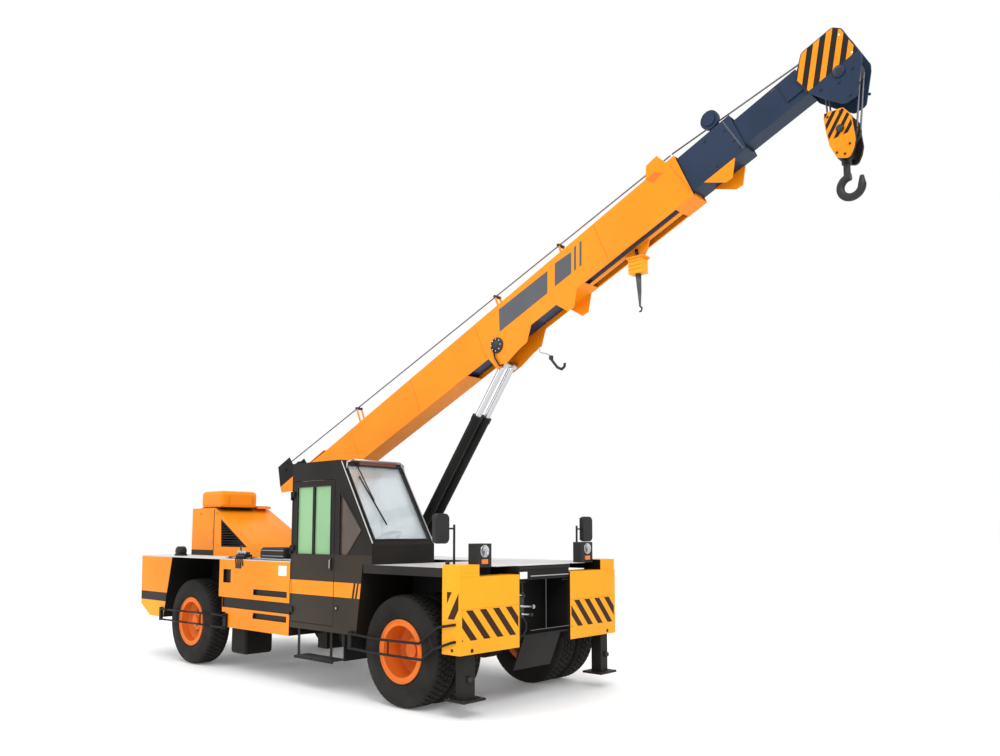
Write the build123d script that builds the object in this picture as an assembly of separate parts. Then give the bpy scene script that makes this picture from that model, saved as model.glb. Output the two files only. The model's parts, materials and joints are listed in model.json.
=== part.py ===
"""Pick-and-carry mobile crane: a ballasted four-wheel carrier with a telescopic boom.

Frame: millimetres, origin on the floor under the middle of the machine, +X towards the
hook, +Y to the left, +Z up. The cab stands on the right-hand side, at negative Y.
Boom pieces are drawn in the boom's own frame (u along the boom, v square to it, origin
at the luffing pin) and then turned up to the resting luff angle.
"""
from build123d import *
from math import atan2, cos, degrees, hypot, radians, sin, tan
import os

os.makedirs("parts", exist_ok=True)

# ---------------------------------------------------------------- clearances
seat_gap = 0.3          # between curved faces that seat on each other
move_gap = 8.0          # between pieces that move past each other
shaft_gap = 0.05        # radial, between a pin and its bore
slide_gap = 0.5         # a sliding leg in its sleeve
panel_gap = 6.0         # round a door leaf
sheet = 8.0             # thickness of body sheet and deck plate

# ---------------------------------------------------------------- running gear
wheelbase = 4247.0
front_axle_x = 667.0
rear_axle_x = front_axle_x - wheelbase
tyre_r = 560.0
tyre_half = 150.0       # half of the section width
bead_half = 122.0       # half of the width at the bead
bead_r = 272.0
tread_half = 112.0
twin_pitch = 342.0      # between the two tyres of a front pair
body_half = 1275.0      # half the width over the body's sides
tyre_proud = 5.0        # how far the outer tyres stand out from those sides
track_face = body_half + tyre_proud
rim_wall = 14.0
rim_flange_r = 316.0
rim_flange = 12.0
disc_wall = 16.0
disc_lean = 62.0        # how far the rim disc cones outwards from hub to barrel
hub_r = 118.0
wheel_nut_circle = 165.0
spindle_r = 44.0
kingpin_inset = 350.0   # kingpin inside the outer face of the tyre
kingpin_y = track_face - kingpin_inset
kingpin_r = 28.0
steer_angle = 30.0

# ---------------------------------------------------------------- carrier
tail_x = -5063.0
nose_x = 1520.0
deck_top = 1410.0
rail_face = 420.0       # outer face of the frame rails
rail_web = 16.0
rail_flange = 110.0
rail_low = 690.0
rail_high = 1250.0
front_box_rear_x = 1277.0
front_box_low = 595.0
front_box_high = 1324.0
jack_box_width = 275.0
jack_inner_y = body_half - jack_box_width
jack_high = 1440.0
jack_x = 1417.0
jack_inset = 180.0      # axis of the leg inside the body side
jack_y = body_half - jack_inset
jack_side = 130.0
jack_wall = 10.0
jack_foot_z = 170.0
jack_up = 150.0
side_box_rear_x = -2863.0
side_box_front_x = -1275.0
side_box_low = 555.0
side_box_inner_y = 700.0
side_box_wall = 12.0
side_box_face = 45.0    # thickness behind the recessed bands
tail_wall = 60.0
guard_r = 13.0          # bars outside the wheels
guard_y = body_half + 35.0
guard_bend = 25.0
guard_strap = 60.0
lamp_x = 1375.0
lamp_inset = 423.0
lamp_y = body_half - lamp_inset
lamp_half = 107.0
lamp_high = 1640.0
mirror_x = 1170.0
mirror_inset = 80.0
mirror_y = body_half - mirror_inset
mirror_half = 95.0
mirror_low = 1640.0
mirror_high = 1935.0
tank_rear_x = -2840.0
tank_front_x = -2480.0
tank_inset = 175.0
tank_low = 200.0
step_z = 350.0
step_depth = 200.0
deck_box_high = 1565.0
arch_gap = 38.0         # front tyre to the sheet behind it

# ---------------------------------------------------------------- cab
cab_rear_x = -1263.0
cab_inner_y = 380.0
cab_footwell_y = 430.0  # inner face below the sill, clear of the rail
cab_sill = 1262.0
cab_low = 660.0
cab_roof = 2550.0
cab_wall = 38.0
cab_mid_y = (body_half + cab_inner_y) / 2
seat_low = 1130.0
seat_high = 1250.0
desk_high = 1560.0
screen_top_x = -363.0
screen_foot_x = 213.0
screen_foot_z = 1617.0
door_front_x = -433.0
door_low = 725.0
door_high = 2340.0
hinge_x = cab_rear_x + 14
hinge_y = -body_half - 16
hinge_pin_r = 6.0
hinge_heights = (860.0, 1560.0, 2180.0)

# ---------------------------------------------------------------- engine hood
hood_right_y = -650.0
hood_left_y = 250.0
hood_rear_x = -4803.0
hood_top = 2100.0
hood_brow_x = -4173.0
hood_foot_x = -2983.0
hood_foot_z = 1530.0
hood_front_x = -2873.0
hood_seam = 14.0        # gap between the hood and its rear door
grille_border = 22.0
slat = 14.0
slat_pitch = 36.0

# ---------------------------------------------------------------- boom
luff_rest = 24.5
luff_low = 5.5
luff_high = 58.0
pivot_x = -2014.5
pivot_z = 2345.1
pivot_r = 45.0
boom_half = 130.0
boom_low = 55.0
boom_top = 538.0
boom_plate = 8.0
boom_front_u = 6000.0
mid_half = 110.0
mid_low = 100.0
mid_top = 500.0
mid_front_u = 6600.0
fly_half = 90.0
fly_low = 150.0
fly_top = 434.0
section_rear_u = 700.0
section_step_u = 350.0
slot_near = 30.0        # slots in the bottom plate, from the centre line
slot_far = 112.0
slot_rear_u = 4600.0
reel_u = 6430.0
reel_r = 90.0
pad_length = 180.0      # slide pads between the sections
lift_u = 3266.0
lift_v = -90.0
foot_x = -993.0
foot_z = 886.0
lift_y = 73.0
barrel_r = 57.0
barrel_wall = 9.0
barrel_length = 2700.0
rod_r = 36.0
eye_r = 45.0
mast_inner_y = 142.0
mast_plate = 25.0

# ---------------------------------------------------------------- head and hook
head_half = 115.0
head_plate = 12.0
head_round = 45.0
fly_front_u = 7250.0
sheave_u = 7520.0
sheave_v = 115.0
sheave_r = 140.0
sheave_width = 36.0
sheave_pitch = 42.0
sheave_flange = 14.0    # rim beyond the bottom of the groove
sheave_pin_r = 30.0
rope_r = 8.0
rope_gap = 0.8
block_x = 4770.0
block_z = 5050.0
block_half = 100.0
block_plate = 26.0
block_round = 40.0
block_sheave_r = 105.0
block_axle_z = 5080.0
block_pin_r = 25.0
cross_head_low = 4850.0
hook_x = block_x + 5.0
bowl_x = 4804.0
bowl_z = 4605.0
bowl_r = 88.0           # centre line of the hook's bend
hook_r = 33.0
shank_r = 28.0


# ================================================================ helpers
def slab(x0, x1, y0, y1, z0, z1):
    """Axis-aligned block between two corners."""
    return Pos((x0 + x1) / 2, (y0 + y1) / 2, (z0 + z1) / 2) * Box(abs(x1 - x0), abs(y1 - y0), abs(z1 - z0))


def side_plate(outline, y0, y1):
    """Outline of (x, z) points pulled out from y0 to y1."""
    face = make_face(Polyline([(x, y0, z) for x, z in outline], close=True))
    return extrude(face, amount=y1 - y0, dir=(0, 1, 0))


def bar_y(x, z, r, y0, y1):
    """Round bar across the machine."""
    return Pos(x, (y0 + y1) / 2, z) * Rot(90, 0, 0) * Cylinder(r, abs(y1 - y0))


def bar_z(x, y, r, z0, z1):
    """Upright round bar."""
    return Pos(x, y, (z0 + z1) / 2) * Cylinder(r, z1 - z0)


def rod_between(start, end, r):
    """Round bar from one point to another."""
    line = Line(start, end)
    return sweep(Plane(start, z_dir=line % 0) * Circle(r), line)


def bent_bar(points, bend, r):
    """Round bar along a path of straight runs with rounded bends."""
    path = FilletPolyline(*points, radius=bend)
    return sweep(Plane(points[0], z_dir=path % 0) * Circle(r), path)


def round_plate(outline, corner, y0, y1):
    """Plate like side_plate with all its corners rounded."""
    plate = side_plate(outline, y0, y1)
    return fillet(plate.edges().filter_by(Axis.Y), corner)


def sheave(y, groove_r, bore_r):
    """Grooved rope wheel centred at y on the axis of rotation."""
    half = sheave_width / 2
    rim_r = groove_r + sheave_flange
    lip = rope_r + 5
    web = half - 8
    section = [(y - half, bore_r), (y - half, bore_r + 22), (y - web, bore_r + 26), (y - web, groove_r - 22),
               (y - half, groove_r - 16), (y - half, rim_r), (y - lip, rim_r), (y - 6, groove_r),
               (y + 6, groove_r),
               (y + lip, rim_r), (y + half, rim_r), (y + half, groove_r - 16), (y + web, groove_r - 22),
               (y + web, bore_r + 26), (y + half, bore_r + 22), (y + half, bore_r)]
    return revolve(Plane.YZ * make_face(Polyline(section, close=True)), Axis.Y)


def mirrored(shape):
    """The same piece on the other side of the centre line."""
    return mirror(shape, about=Plane.XZ)


def group(pieces):
    """Separate solids of one node."""
    return Compound(children=[solid for piece in pieces for solid in piece.solids()])


boom_frame = Location((pivot_x, 0, pivot_z), (0, -luff_rest, 0))


def boom_point(u, v):
    """Machine (x, z) of a point of the resting boom."""
    a = radians(luff_rest)
    return pivot_x + u * cos(a) - v * sin(a), pivot_z + u * sin(a) + v * cos(a)


lift_x, lift_z = boom_point(lift_u, lift_v)
lift_length = hypot(lift_x - foot_x, lift_z - foot_z)
lift_angle = degrees(atan2(lift_z - foot_z, lift_x - foot_x))
lift_frame = Location((foot_x, 0, foot_z), (0, -lift_angle, 0))
sheave_x, sheave_z = boom_point(sheave_u, sheave_v)


# ================================================================ wheels
def tyre(y):
    """Tyre with its centre plane at y, round the wheel axis."""
    crown = [(tread_half, tyre_r), (-tread_half, tyre_r)]
    outline = Line(crown[0], crown[1])
    for side in (1, -1):
        bead_top = (side * bead_half, rim_flange_r + 4)
        shoulder = (side * (tyre_half - 8), tyre_r - 42)
        outline += Line((side * bead_half, bead_r), bead_top)
        outline += ThreePointArc(bead_top, (side * tyre_half, rim_flange_r + 96), shoulder)
        outline += ThreePointArc(shoulder, (side * (tread_half + 22), tyre_r - 12),
                                 (side * tread_half, tyre_r))
    outline += Line((bead_half, bead_r), (-bead_half, bead_r))
    section = Plane.YZ * Pos(y, 0) * make_face(outline)
    return revolve(section, Axis.Y)


def rim(y, disc_y):
    """Steel rim in the tyre at y, its disc meeting the hub at disc_y; outside is -Y."""
    barrel_r_out = bead_r - seat_gap
    wall = [(-bead_half - rim_flange, barrel_r_out - rim_wall),
            (bead_half + rim_flange, barrel_r_out - rim_wall),
            (bead_half + rim_flange, rim_flange_r), (bead_half + seat_gap, rim_flange_r),
            (bead_half + seat_gap, barrel_r_out), (-bead_half - seat_gap, barrel_r_out),
            (-bead_half - seat_gap, rim_flange_r), (-bead_half - rim_flange, rim_flange_r)]
    ring = revolve(Plane.YZ * Pos(y, 0) * make_face(Polyline(wall, close=True)), Axis.Y)
    root = barrel_r_out - rim_wall + 2
    lean = disc_lean if disc_y > y else -disc_lean
    disc = [(disc_y, hub_r - 20), (disc_y, hub_r + 70), (disc_y - lean, root),
            (disc_y - lean - disc_wall, root),
            (disc_y - disc_wall, hub_r + 70), (disc_y - disc_wall, hub_r - 20)]
    plate = revolve(Plane.YZ * make_face(Polyline(disc, close=True)), Axis.Y)
    return ring + plate


outer_y = -(track_face - tyre_half)
inner_y = outer_y + twin_pitch
twin_disc_y = (outer_y + inner_y) / 2
rear_disc_y = outer_y + 40


def front_rims():
    """Two rims and the hub drum of the right front pair."""
    rims = rim(outer_y, twin_disc_y) + rim(inner_y, twin_disc_y + disc_wall)
    hub = bar_y(0, 0, hub_r, twin_disc_y - 120, twin_disc_y + 170)
    cap = bar_y(0, 0, hub_r - 42, twin_disc_y - 165, twin_disc_y - 120)
    nuts = [bar_y(wheel_nut_circle * cos(radians(a)), wheel_nut_circle * sin(radians(a)), 17,
                  twin_disc_y - disc_wall - 22, twin_disc_y - disc_wall) for a in range(0, 360, 45)]
    bore = bar_y(0, 0, spindle_r + shaft_gap, twin_disc_y - 60, twin_disc_y + 171)
    body = rims + hub + cap - bore
    return body + nuts


def rear_rim():
    """Rim and hub of the right rear wheel."""
    hub = bar_y(0, 0, hub_r, rear_disc_y - 90, rear_disc_y + 70)
    cap = bar_y(0, 0, hub_r - 48, rear_disc_y - 120, rear_disc_y - 90)
    nuts = [bar_y(wheel_nut_circle * cos(radians(a)), wheel_nut_circle * sin(radians(a)), 17,
                  rear_disc_y - disc_wall - 22, rear_disc_y - disc_wall) for a in range(0, 360, 45)]
    bore = bar_y(0, 0, spindle_r + shaft_gap, rear_disc_y - 60, rear_disc_y + 71)
    body = rim(outer_y, rear_disc_y) + hub + cap - bore
    return body + nuts


def at_front(shape):
    return Pos(front_axle_x, 0, tyre_r) * shape


def at_rear(shape):
    return Pos(rear_axle_x, 0, tyre_r) * shape


def front_axle():
    """Rigid drive axle with its differential and spring-less pads under the rails."""
    half = -(twin_disc_y + 170) - move_gap
    profile = [(0, 0), (0, 190), (70, 190), (170, 110), (half, 100), (half, 0)]
    side = Plane.YZ * make_face(Polyline([(-y, r) for y, r in profile], close=True))
    housing = revolve(side, Axis.Y)
    housing += mirrored(housing)
    spindle = bar_y(0, 0, spindle_r, twin_disc_y - 55, -half)
    pad = slab(-90, 90, -rail_face, -rail_face + rail_flange, 60, rail_low - tyre_r)
    return at_front(housing + spindle + mirrored(spindle) + pad + mirrored(pad))


def rear_axle():
    """Steered beam axle with a fork for each kingpin."""
    web_in, web_out = -kingpin_y + 122, -kingpin_y + 84
    beam = slab(-75, 75, web_in - 20, 20 - web_in, -60, 60)
    pad = slab(-120, 120, -rail_face, -rail_face + rail_flange, 60, rail_low - tyre_r)
    web = slab(-60, 60, web_out, web_in, -130, 130)
    ears = slab(-50, 50, -kingpin_y - 42, web_in, 98, 130)
    ears += slab(-50, 50, -kingpin_y - 42, web_in, -130, -98)
    pin = bar_z(0, -kingpin_y, kingpin_r, -140, 140)
    side = web + ears + pin + pad
    ram = bar_y(110, 0, 42, -330, 330)
    bracket = slab(60, 110, -60, 60, -30, 30)
    return at_rear(beam + side + mirrored(side) + ram + bracket)


def knuckle():
    """Right steering knuckle with its spindle and arm."""
    body = slab(-48, 48, -kingpin_y - 42, -kingpin_y + 44, -98 + 1, 98 - 1)
    spindle = bar_y(0, 0, spindle_r, rear_disc_y - 55, -kingpin_y - 42)
    arm = slab(40, 190, -kingpin_y - 34, -kingpin_y + 10, -60, -30)
    bore = bar_z(0, -kingpin_y, kingpin_r + shaft_gap, -120, 120)
    return at_rear(body + spindle + arm - bore)


# ================================================================ carrier
def frame_rail(y_face, x0, x1):
    """Channel rail whose web's outer face is at y_face on the right-hand side."""
    inner = -y_face + rail_flange
    web = slab(x0, x1, -y_face, -y_face + rail_web, rail_low, rail_high)
    low = slab(x0, x1, -y_face, inner, rail_low, rail_low + rail_web)
    high = slab(x0, x1, -y_face, inner, rail_high - rail_web, rail_high)
    return web + low + high


def chassis_frame():
    """Two rails, cross members and the open box at the front."""
    rail = frame_rail(rail_face, tail_x + 300, nose_x - 20)
    frame = rail + mirrored(rail)
    inside = rail_face - rail_web
    cross_members = [(tail_x + 400, rail_high), (rear_axle_x - 200, rail_high), (-2700, rail_high),
                     (foot_x - 260, rail_high), (foot_x + 330, foot_z), (front_axle_x - 250, rail_high)]
    for x, top in cross_members:
        frame += slab(x - 8, x + 8, -inside, inside, rail_low, top)
    frame += slab(nose_x - 360, nose_x - 344, -inside, inside, rail_low, rail_high)
    frame += slab(nose_x - 360, nose_x - 20, -inside, inside, rail_low, rail_low + rail_web)
    riser = slab(screen_foot_x + 8, nose_x - 20, -rail_face, -rail_face + rail_web, rail_high,
                 deck_top - sheet)
    frame += riser + mirrored(riser)
    apron = [(nose_x - 40, rail_low), (nose_x - 60, rail_low), (nose_x - 210, 330), (nose_x - 190, 330)]
    frame += side_plate(apron, -300, 300)
    for side in (-1, 1):
        lug = side_plate([(foot_x - 130, rail_low + rail_web), (foot_x - 70, foot_z + 70),
                          (foot_x + 70, foot_z + 70),
                          (foot_x + 130, rail_low + rail_web)], side * 150, side * 175)
        frame += lug
    frame += slab(foot_x - 260, foot_x + 330, -inside, inside, rail_low, rail_low + rail_web)
    frame -= bar_y(foot_x, foot_z, 30 + shaft_gap, -200, 200)
    return frame


def foot_pin():
    return bar_y(foot_x, foot_z, 30, -178, 178)


def rear_body():
    """Ballasted tail: one casting across the machine."""
    outline = [(tail_x, deck_top - sheet), (tail_x + 20, 720), (tail_x + 310, 565), (tail_x + 710, 564),
               (tail_x + 910, 1375), (tail_x + 915, deck_top - sheet)]
    block = side_plate(outline, -body_half, body_half)
    tunnel = slab(tail_x + 299, tail_x + 1000, -rail_face - 1, rail_face + 1, 500, rail_high + 1)
    room = side_plate(inset(outline, tail_wall), -body_half + tail_wall, body_half - tail_wall)
    room -= slab(tail_x + 299 - tail_wall, tail_x + 1000, -rail_face - tail_wall, rail_face + tail_wall,
                 500, rail_high + tail_wall)
    return block - tunnel - room


def side_box(front_x):
    """Tank and tool box on one side; drawn on the right."""
    face = -body_half
    outline = [(side_box_rear_x, deck_top - sheet), (side_box_rear_x, 930), (side_box_rear_x + 90, 930),
               (side_box_rear_x + 90, 740), (side_box_rear_x + 180, 740),
               (side_box_rear_x + 180, side_box_low),
               (front_x, side_box_low), (front_x, deck_top - sheet)]
    box = side_plate(outline, face, -side_box_inner_y)
    box -= side_plate(inset(outline, side_box_wall), face + side_box_face, -side_box_inner_y - side_box_wall)
    box -= slab(side_box_rear_x + 95, front_x + 1, face - 1, face + 12, 742, 928)
    box += slab(side_box_rear_x + 220, side_box_rear_x + 300, -side_box_inner_y, -rail_face, 1000, 1200)
    box += slab(side_box_rear_x + 900, side_box_rear_x + 980, -side_box_inner_y, -rail_face, 1000, 1200)
    return box


def right_side_box():
    box = side_box(side_box_front_x)
    face = -body_half
    for z in (735, 1020):
        box -= slab(-2050, -1330, face - 1, face + 25, z - 36, z + 36)
    box -= slab(-2763, -2583, face - 1, face + 30, 1110, 1280)
    return box


front_arch_y = track_face - 2 * tyre_half - twin_pitch - arch_gap


def arch_wall():
    """Sheets that close the frame side inside the wheel openings, right-hand side."""
    rear = [(tail_x + 749, 720), (tail_x + 910, 1375), (tail_x + 915, deck_top - sheet),
            (side_box_rear_x, deck_top - sheet), (side_box_rear_x, 720)]
    front = [(110, 720), (110, deck_top - sheet), (front_box_rear_x, deck_top - sheet),
             (front_box_rear_x, 720)]
    return group([side_plate(rear, -640, -640 + sheet), side_plate(front, -front_arch_y,
                                                                   -front_arch_y + sheet)])


def rear_deck():
    """Chequer plate over the tail, the wheels and the side boxes."""
    plate = slab(tail_x, side_box_front_x, -body_half, body_half, deck_top - sheet, deck_top)
    plate += slab(side_box_front_x, screen_foot_x, rail_face, body_half, deck_top - sheet, deck_top)
    well = slab(-2860, side_box_front_x + 1, -340, 340, deck_top - 20, deck_top + 20)
    return plate - well


def front_deck():
    """Plates over the front wheels and the frame's nose."""
    start = 70
    plate = slab(start, front_box_rear_x, -body_half, -rail_face, deck_top - sheet, deck_top)
    plate += slab(front_box_rear_x, nose_x - 120, -jack_inner_y + 2, -rail_face, deck_top - sheet, deck_top)
    plate += slab(screen_foot_x, front_box_rear_x, rail_face, body_half, deck_top - sheet, deck_top)
    plate += slab(front_box_rear_x, nose_x - 120, rail_face, jack_inner_y - 2, deck_top - sheet, deck_top)
    plate += slab(screen_foot_x + 8, nose_x, -rail_face, rail_face, deck_top - sheet, deck_top)
    skirt = slab(start, front_box_rear_x, -body_half, -body_half + sheet, deck_top - 90, deck_top - sheet)
    skirt += slab(-100, front_box_rear_x, body_half - sheet, body_half, deck_top - 90, deck_top - sheet)
    return plate + skirt


def front_box():
    """Hazard-striped box with the square sleeve of the jack, right-hand side."""
    box = slab(front_box_rear_x, nose_x, -body_half, -rail_face, front_box_low, front_box_high)
    box -= slab(front_box_rear_x - 1, nose_x - sheet, -jack_inner_y, -rail_face - sheet,
                front_box_low + sheet, front_box_high - sheet)
    box += slab(front_box_rear_x, nose_x - 8, -body_half, -jack_inner_y, front_box_high, jack_high)
    hole = jack_side / 2 + slide_gap
    box -= slab(jack_x - hole, jack_x + hole, -jack_y - hole, -jack_y + hole, 0, jack_high - sheet)
    return box


def jack_leg():
    """Square jack leg with its foot plate, right-hand side."""
    half = jack_side / 2
    leg = slab(jack_x - half, jack_x + half, -jack_y - half, -jack_y + half, jack_foot_z,
               jack_high - sheet - jack_up - 20)
    core = half - jack_wall
    leg -= slab(jack_x - core, jack_x + core, -jack_y - core, -jack_y + core, jack_foot_z + 20, jack_high)
    foot = slab(jack_x - 130, jack_x + 130, -jack_y - 150, -jack_y + 150, jack_foot_z - 15, jack_foot_z + 8)
    return leg + foot


def wheel_guards():
    """Bars outside the right front tyres, and the fixed ends of the rear bars beside the steered wheel."""
    front = body_half
    strap = slab(-100 - guard_strap / 2, -100 + guard_strap / 2, -guard_y, -front, 515, cab_low + 40)
    box_end = [(1456, 882), (1457, 722)]
    upper = [(-100, 681), (384, 661), (991, 671), (1265, 848), box_end[0]]
    lower = [(-100, 532), (370, 518), (1025, 519), (1207, 639), box_end[1]]
    guard = strap
    for run in (upper, lower):
        path = [(x, -guard_y, z) for x, z in run]
        guard += bent_bar(path + [(path[-1][0], -front, path[-1][2])], guard_bend, guard_r)
    guard += rod_between((530, -guard_y, 518), (530, -guard_y, 663), guard_r - 4)
    guard += rod_between((1199, -guard_y, 634), (1130, -guard_y, 760), guard_r - 4)
    ends = [(tail_x + 663, tail_x + 873, 680, 541), (side_box_rear_x + 180, rear_axle_x + 595, 700, 548)]
    pieces = [guard]
    for root, tip, high, low in ends:
        side = guard_strap if tip < root else guard_strap - 15
        piece = slab(root, root + side, -guard_y, -front, low - 20, high + 24)
        middle = root + side / 2
        for z in (high, low):
            piece += rod_between((middle, -guard_y, z), (tip, -guard_y, z), guard_r)
        pieces.append(piece)
    return group(pieces)


def headlamp():
    """Lamp housing with a round lens recess over a turn-signal recess, right-hand side."""
    housing = slab(lamp_x - 65, lamp_x + 65, -lamp_y - lamp_half, -lamp_y + lamp_half, deck_top, lamp_high)
    housing = fillet(housing.edges().filter_by(Axis.X) + housing.edges().filter_by(Axis.Z), 14)
    face = lamp_x + 65
    lens = Pos(face, -lamp_y, lamp_high - 78) * Rot(0, 90, 0) * Cylinder(62, 24)
    signal = slab(face - 8, face + 1, -lamp_y - 62, -lamp_y + 62, deck_top + 14, deck_top + 82)
    return housing - lens - signal


def mirror_arm():
    """Mirror head on its post, right-hand side."""
    head = slab(mirror_x - 30, mirror_x + 30, -mirror_y - mirror_half, -mirror_y + mirror_half, mirror_low,
                mirror_high)
    head = fillet(head.edges().filter_by(Axis.X), 55)
    head = fillet(head.faces().filter_by(Axis.X).edges(), 10)
    post_y = -mirror_y + mirror_half + 90
    arm_z = (mirror_low + mirror_high) / 2
    post = bar_z(mirror_x, post_y, 12, deck_top, arm_z + 40) + bar_z(mirror_x, post_y, 36, deck_top,
                                                                     deck_top + 10)
    return head + post + bar_y(mirror_x, arm_z, 9, -mirror_y + mirror_half - 10, post_y)


def cab_step():
    """Tread plate hung under the cab door."""
    rear, front = -1180, -450
    plate = slab(rear, front, -body_half + 15, -body_half + 15 + step_depth, step_z - sheet, step_z)
    for x in (rear + 40, front - 80):
        plate += slab(x, x + 40, -body_half + 35, -body_half + 35 + sheet, step_z, cab_low)
    edge = slab(rear, front, -body_half + 15, -body_half + 15 + sheet, step_z - 30, step_z)
    return plate + edge


def side_tank():
    """Tank under the right side box."""
    tank = slab(tank_rear_x, tank_front_x, -body_half + tank_inset, -side_box_inner_y, tank_low,
                side_box_low)
    return fillet(tank.edges().filter_by(Axis.Z) + tank.edges().group_by(Axis.Z)[0], 40)


def deck_box():
    """Low locker on the right-hand deck behind the cab."""
    box = slab(side_box_rear_x + 35, cab_rear_x - 265, -body_half + 75, -side_box_inner_y, deck_top,
               deck_box_high)
    return fillet(box.edges().filter_by(Axis.Z) + box.edges().group_by(Axis.Z)[-1], 45)


# ================================================================ cab
cab_outline = [(cab_rear_x, cab_low), (cab_rear_x, cab_roof), (screen_top_x, cab_roof),
               (screen_foot_x, screen_foot_z),
               (screen_foot_x, deck_top), (60, deck_top), (40, 1210), (-33, cab_low)]


quarter_window = [(-352, 2210), (40, 1770), (-210, 1500), (-352, 1500)]
left_window = [(cab_rear_x + 110, 1500), (cab_rear_x + 110, 2400), (-420, 2400), (70, 1650), (0, 1500)]
screen_rise = cab_roof - screen_foot_z
screen_run = screen_foot_x - screen_top_x
screen_slope = hypot(screen_rise, screen_run)
screen_margin = 62.0


def screen_point(end, out, slack=0.0):
    """Point of the windscreen line: end 0 is the foot, 1 the top; out is outwards."""
    along = ((screen_margin + seat_gap - slack) if end == 0
             else screen_slope - screen_margin - seat_gap + slack)
    ux, uz = -screen_run / screen_slope, screen_rise / screen_slope
    return screen_foot_x + along * ux + out * uz, screen_foot_z + along * uz - out * ux


def inset(outline, wall):
    """The outline moved inwards by a wall."""
    wire = Polyline([(x, z) for x, z in outline], close=True)
    inner = offset(make_face(wire), amount=-wall, kind=Kind.INTERSECTION)
    points = [vertex for vertex in inner.faces()[0].outer_wire().order_edges()]
    return [(edge.position_at(0).X, edge.position_at(0).Y) for edge in points]


def cab_volume(outline, near_y, step_y, far_y, sill):
    """Footwell from near_y to step_y, widened above the sill to far_y."""
    wide = side_plate(outline, step_y, far_y) - slab(-3000, 3000, step_y, far_y, 0, sill)
    return side_plate(outline, near_y, step_y) + wide


def cab_shell():
    outer = cab_volume(cab_outline, -body_half, -cab_footwell_y, -cab_inner_y, cab_sill)
    room = cab_volume(inset(cab_outline, cab_wall), -body_half + cab_wall, -cab_footwell_y - cab_wall,
                      -cab_inner_y - cab_wall, cab_sill + cab_wall)
    shell = outer - room
    skin = cab_wall + 2
    shell -= slab(cab_rear_x + 22, door_front_x, -body_half - 1, -body_half + skin, door_low, door_high)
    shell -= side_plate(quarter_window, -body_half - 1, -body_half + skin)
    shell -= side_plate(left_window, -cab_inner_y - skin, -cab_inner_y + 1)
    shell -= slab(cab_rear_x - 1, cab_rear_x + skin, -body_half + 110, -cab_inner_y - 110, 1500, 2380)
    screen = [screen_point(0, -skin, seat_gap), screen_point(0, 5, seat_gap),
              screen_point(1, 5, seat_gap), screen_point(1, -skin, seat_gap)]
    shell -= side_plate(screen, -body_half + 60, -cab_inner_y - 60)
    for z in hinge_heights:
        shell += slab(hinge_x - 13, hinge_x + 7, hinge_y - 6, -body_half + 6, z - 60, z - 24)
        shell += bar_z(hinge_x, hinge_y, hinge_pin_r, z - 60, z + 40)
    return shell


def cab_door():
    """Door leaf with its window opening; hinged at the rear edge."""
    x0, x1 = cab_rear_x + 22 + panel_gap, door_front_x - panel_gap
    leaf = slab(x0, x1, -body_half, -body_half + cab_wall, door_low + panel_gap, door_high - panel_gap)
    leaf -= slab(-1150, -850, -body_half - 1, -body_half + cab_wall + 1, 1505, 2265)
    leaf -= slab(-815, -515, -body_half - 1, -body_half + cab_wall + 1, 1505, 2265)
    for z in hinge_heights:
        leaf += slab(hinge_x, x0 + 40, hinge_y - 4, hinge_y + 4, z - 23, z + 40)
        leaf += slab(x0 + 5, x0 + 40, hinge_y, -body_half + 1, z - 23, z + 40)
        leaf += bar_z(hinge_x, hinge_y, 13, z - 23, z + 40)
        leaf -= bar_z(hinge_x, hinge_y, hinge_pin_r + shaft_gap, z - 60, z + 60)
    return leaf


def door_glass():
    mid = -body_half + cab_wall / 2
    panes = [slab(x0 + seat_gap, x1 - seat_gap, mid - 3, mid + 3, 1505 + seat_gap, 2265 - seat_gap)
             for x0, x1 in ((-1150, -850), (-815, -515))]
    return group(panes)


def cab_glass():
    mid = -body_half + cab_wall / 2
    quarter = side_plate(inset(quarter_window, seat_gap), mid - 3, mid + 3)
    left = side_plate(inset(left_window, seat_gap), -cab_inner_y - 22, -cab_inner_y - 16)
    rear = slab(cab_rear_x + 16, cab_rear_x + 22, -body_half + 110 + seat_gap, -cab_inner_y - 110 - seat_gap,
                1500 + seat_gap, 2380 - seat_gap)
    screen = side_plate([screen_point(0, -22), screen_point(0, -16), screen_point(1, -16),
                         screen_point(1, -22)],
                        -body_half + 60 + seat_gap, -cab_inner_y - 60 - seat_gap)
    return group([quarter, left, rear, screen])


def seat():
    x0 = -1010
    base = slab(x0, x0 + 480, -cab_mid_y - 240, -cab_mid_y + 240, seat_low, seat_high)
    back = side_plate([(x0 - 120, seat_high), (x0 - 190, 1900), (x0 - 80, 1900), (x0, seat_high + seat_gap)],
                      -cab_mid_y - 230, -cab_mid_y + 230)
    return group([base, back])


def seat_stand():
    return slab(-960, -600, -cab_mid_y - 160, -cab_mid_y + 160, cab_low + cab_wall, seat_low - seat_gap)


def console():
    """Control desk with the steering column and wheel."""
    floor_z = cab_low + cab_wall
    desk = side_plate([(-200, floor_z), (-200, desk_high - 130), (-40, desk_high), (120, desk_high),
                       (170, desk_high - 110), (20, desk_high - 110), (-75, floor_z)],
                      -cab_mid_y - 315, -cab_mid_y + 315)
    wheel_at = Location((-70, -cab_mid_y, desk_high + 120), (0, -30, 0))
    wheel = Torus(140, 13) + Cylinder(30, 20)
    for turn in (90, 210, 330):
        wheel += Rot(0, 0, turn) * Pos(72, 0, 0) * Box(140, 20, 8)
    column = Pos(0, 0, -70) * Cylinder(20, 140)
    return desk + wheel_at * (wheel + column)


# ================================================================ engine hood
hood_vent = [(hood_brow_x + 200, 1940), (hood_brow_x + 220, 1540), (hood_brow_x + 920, 1540)]


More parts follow.
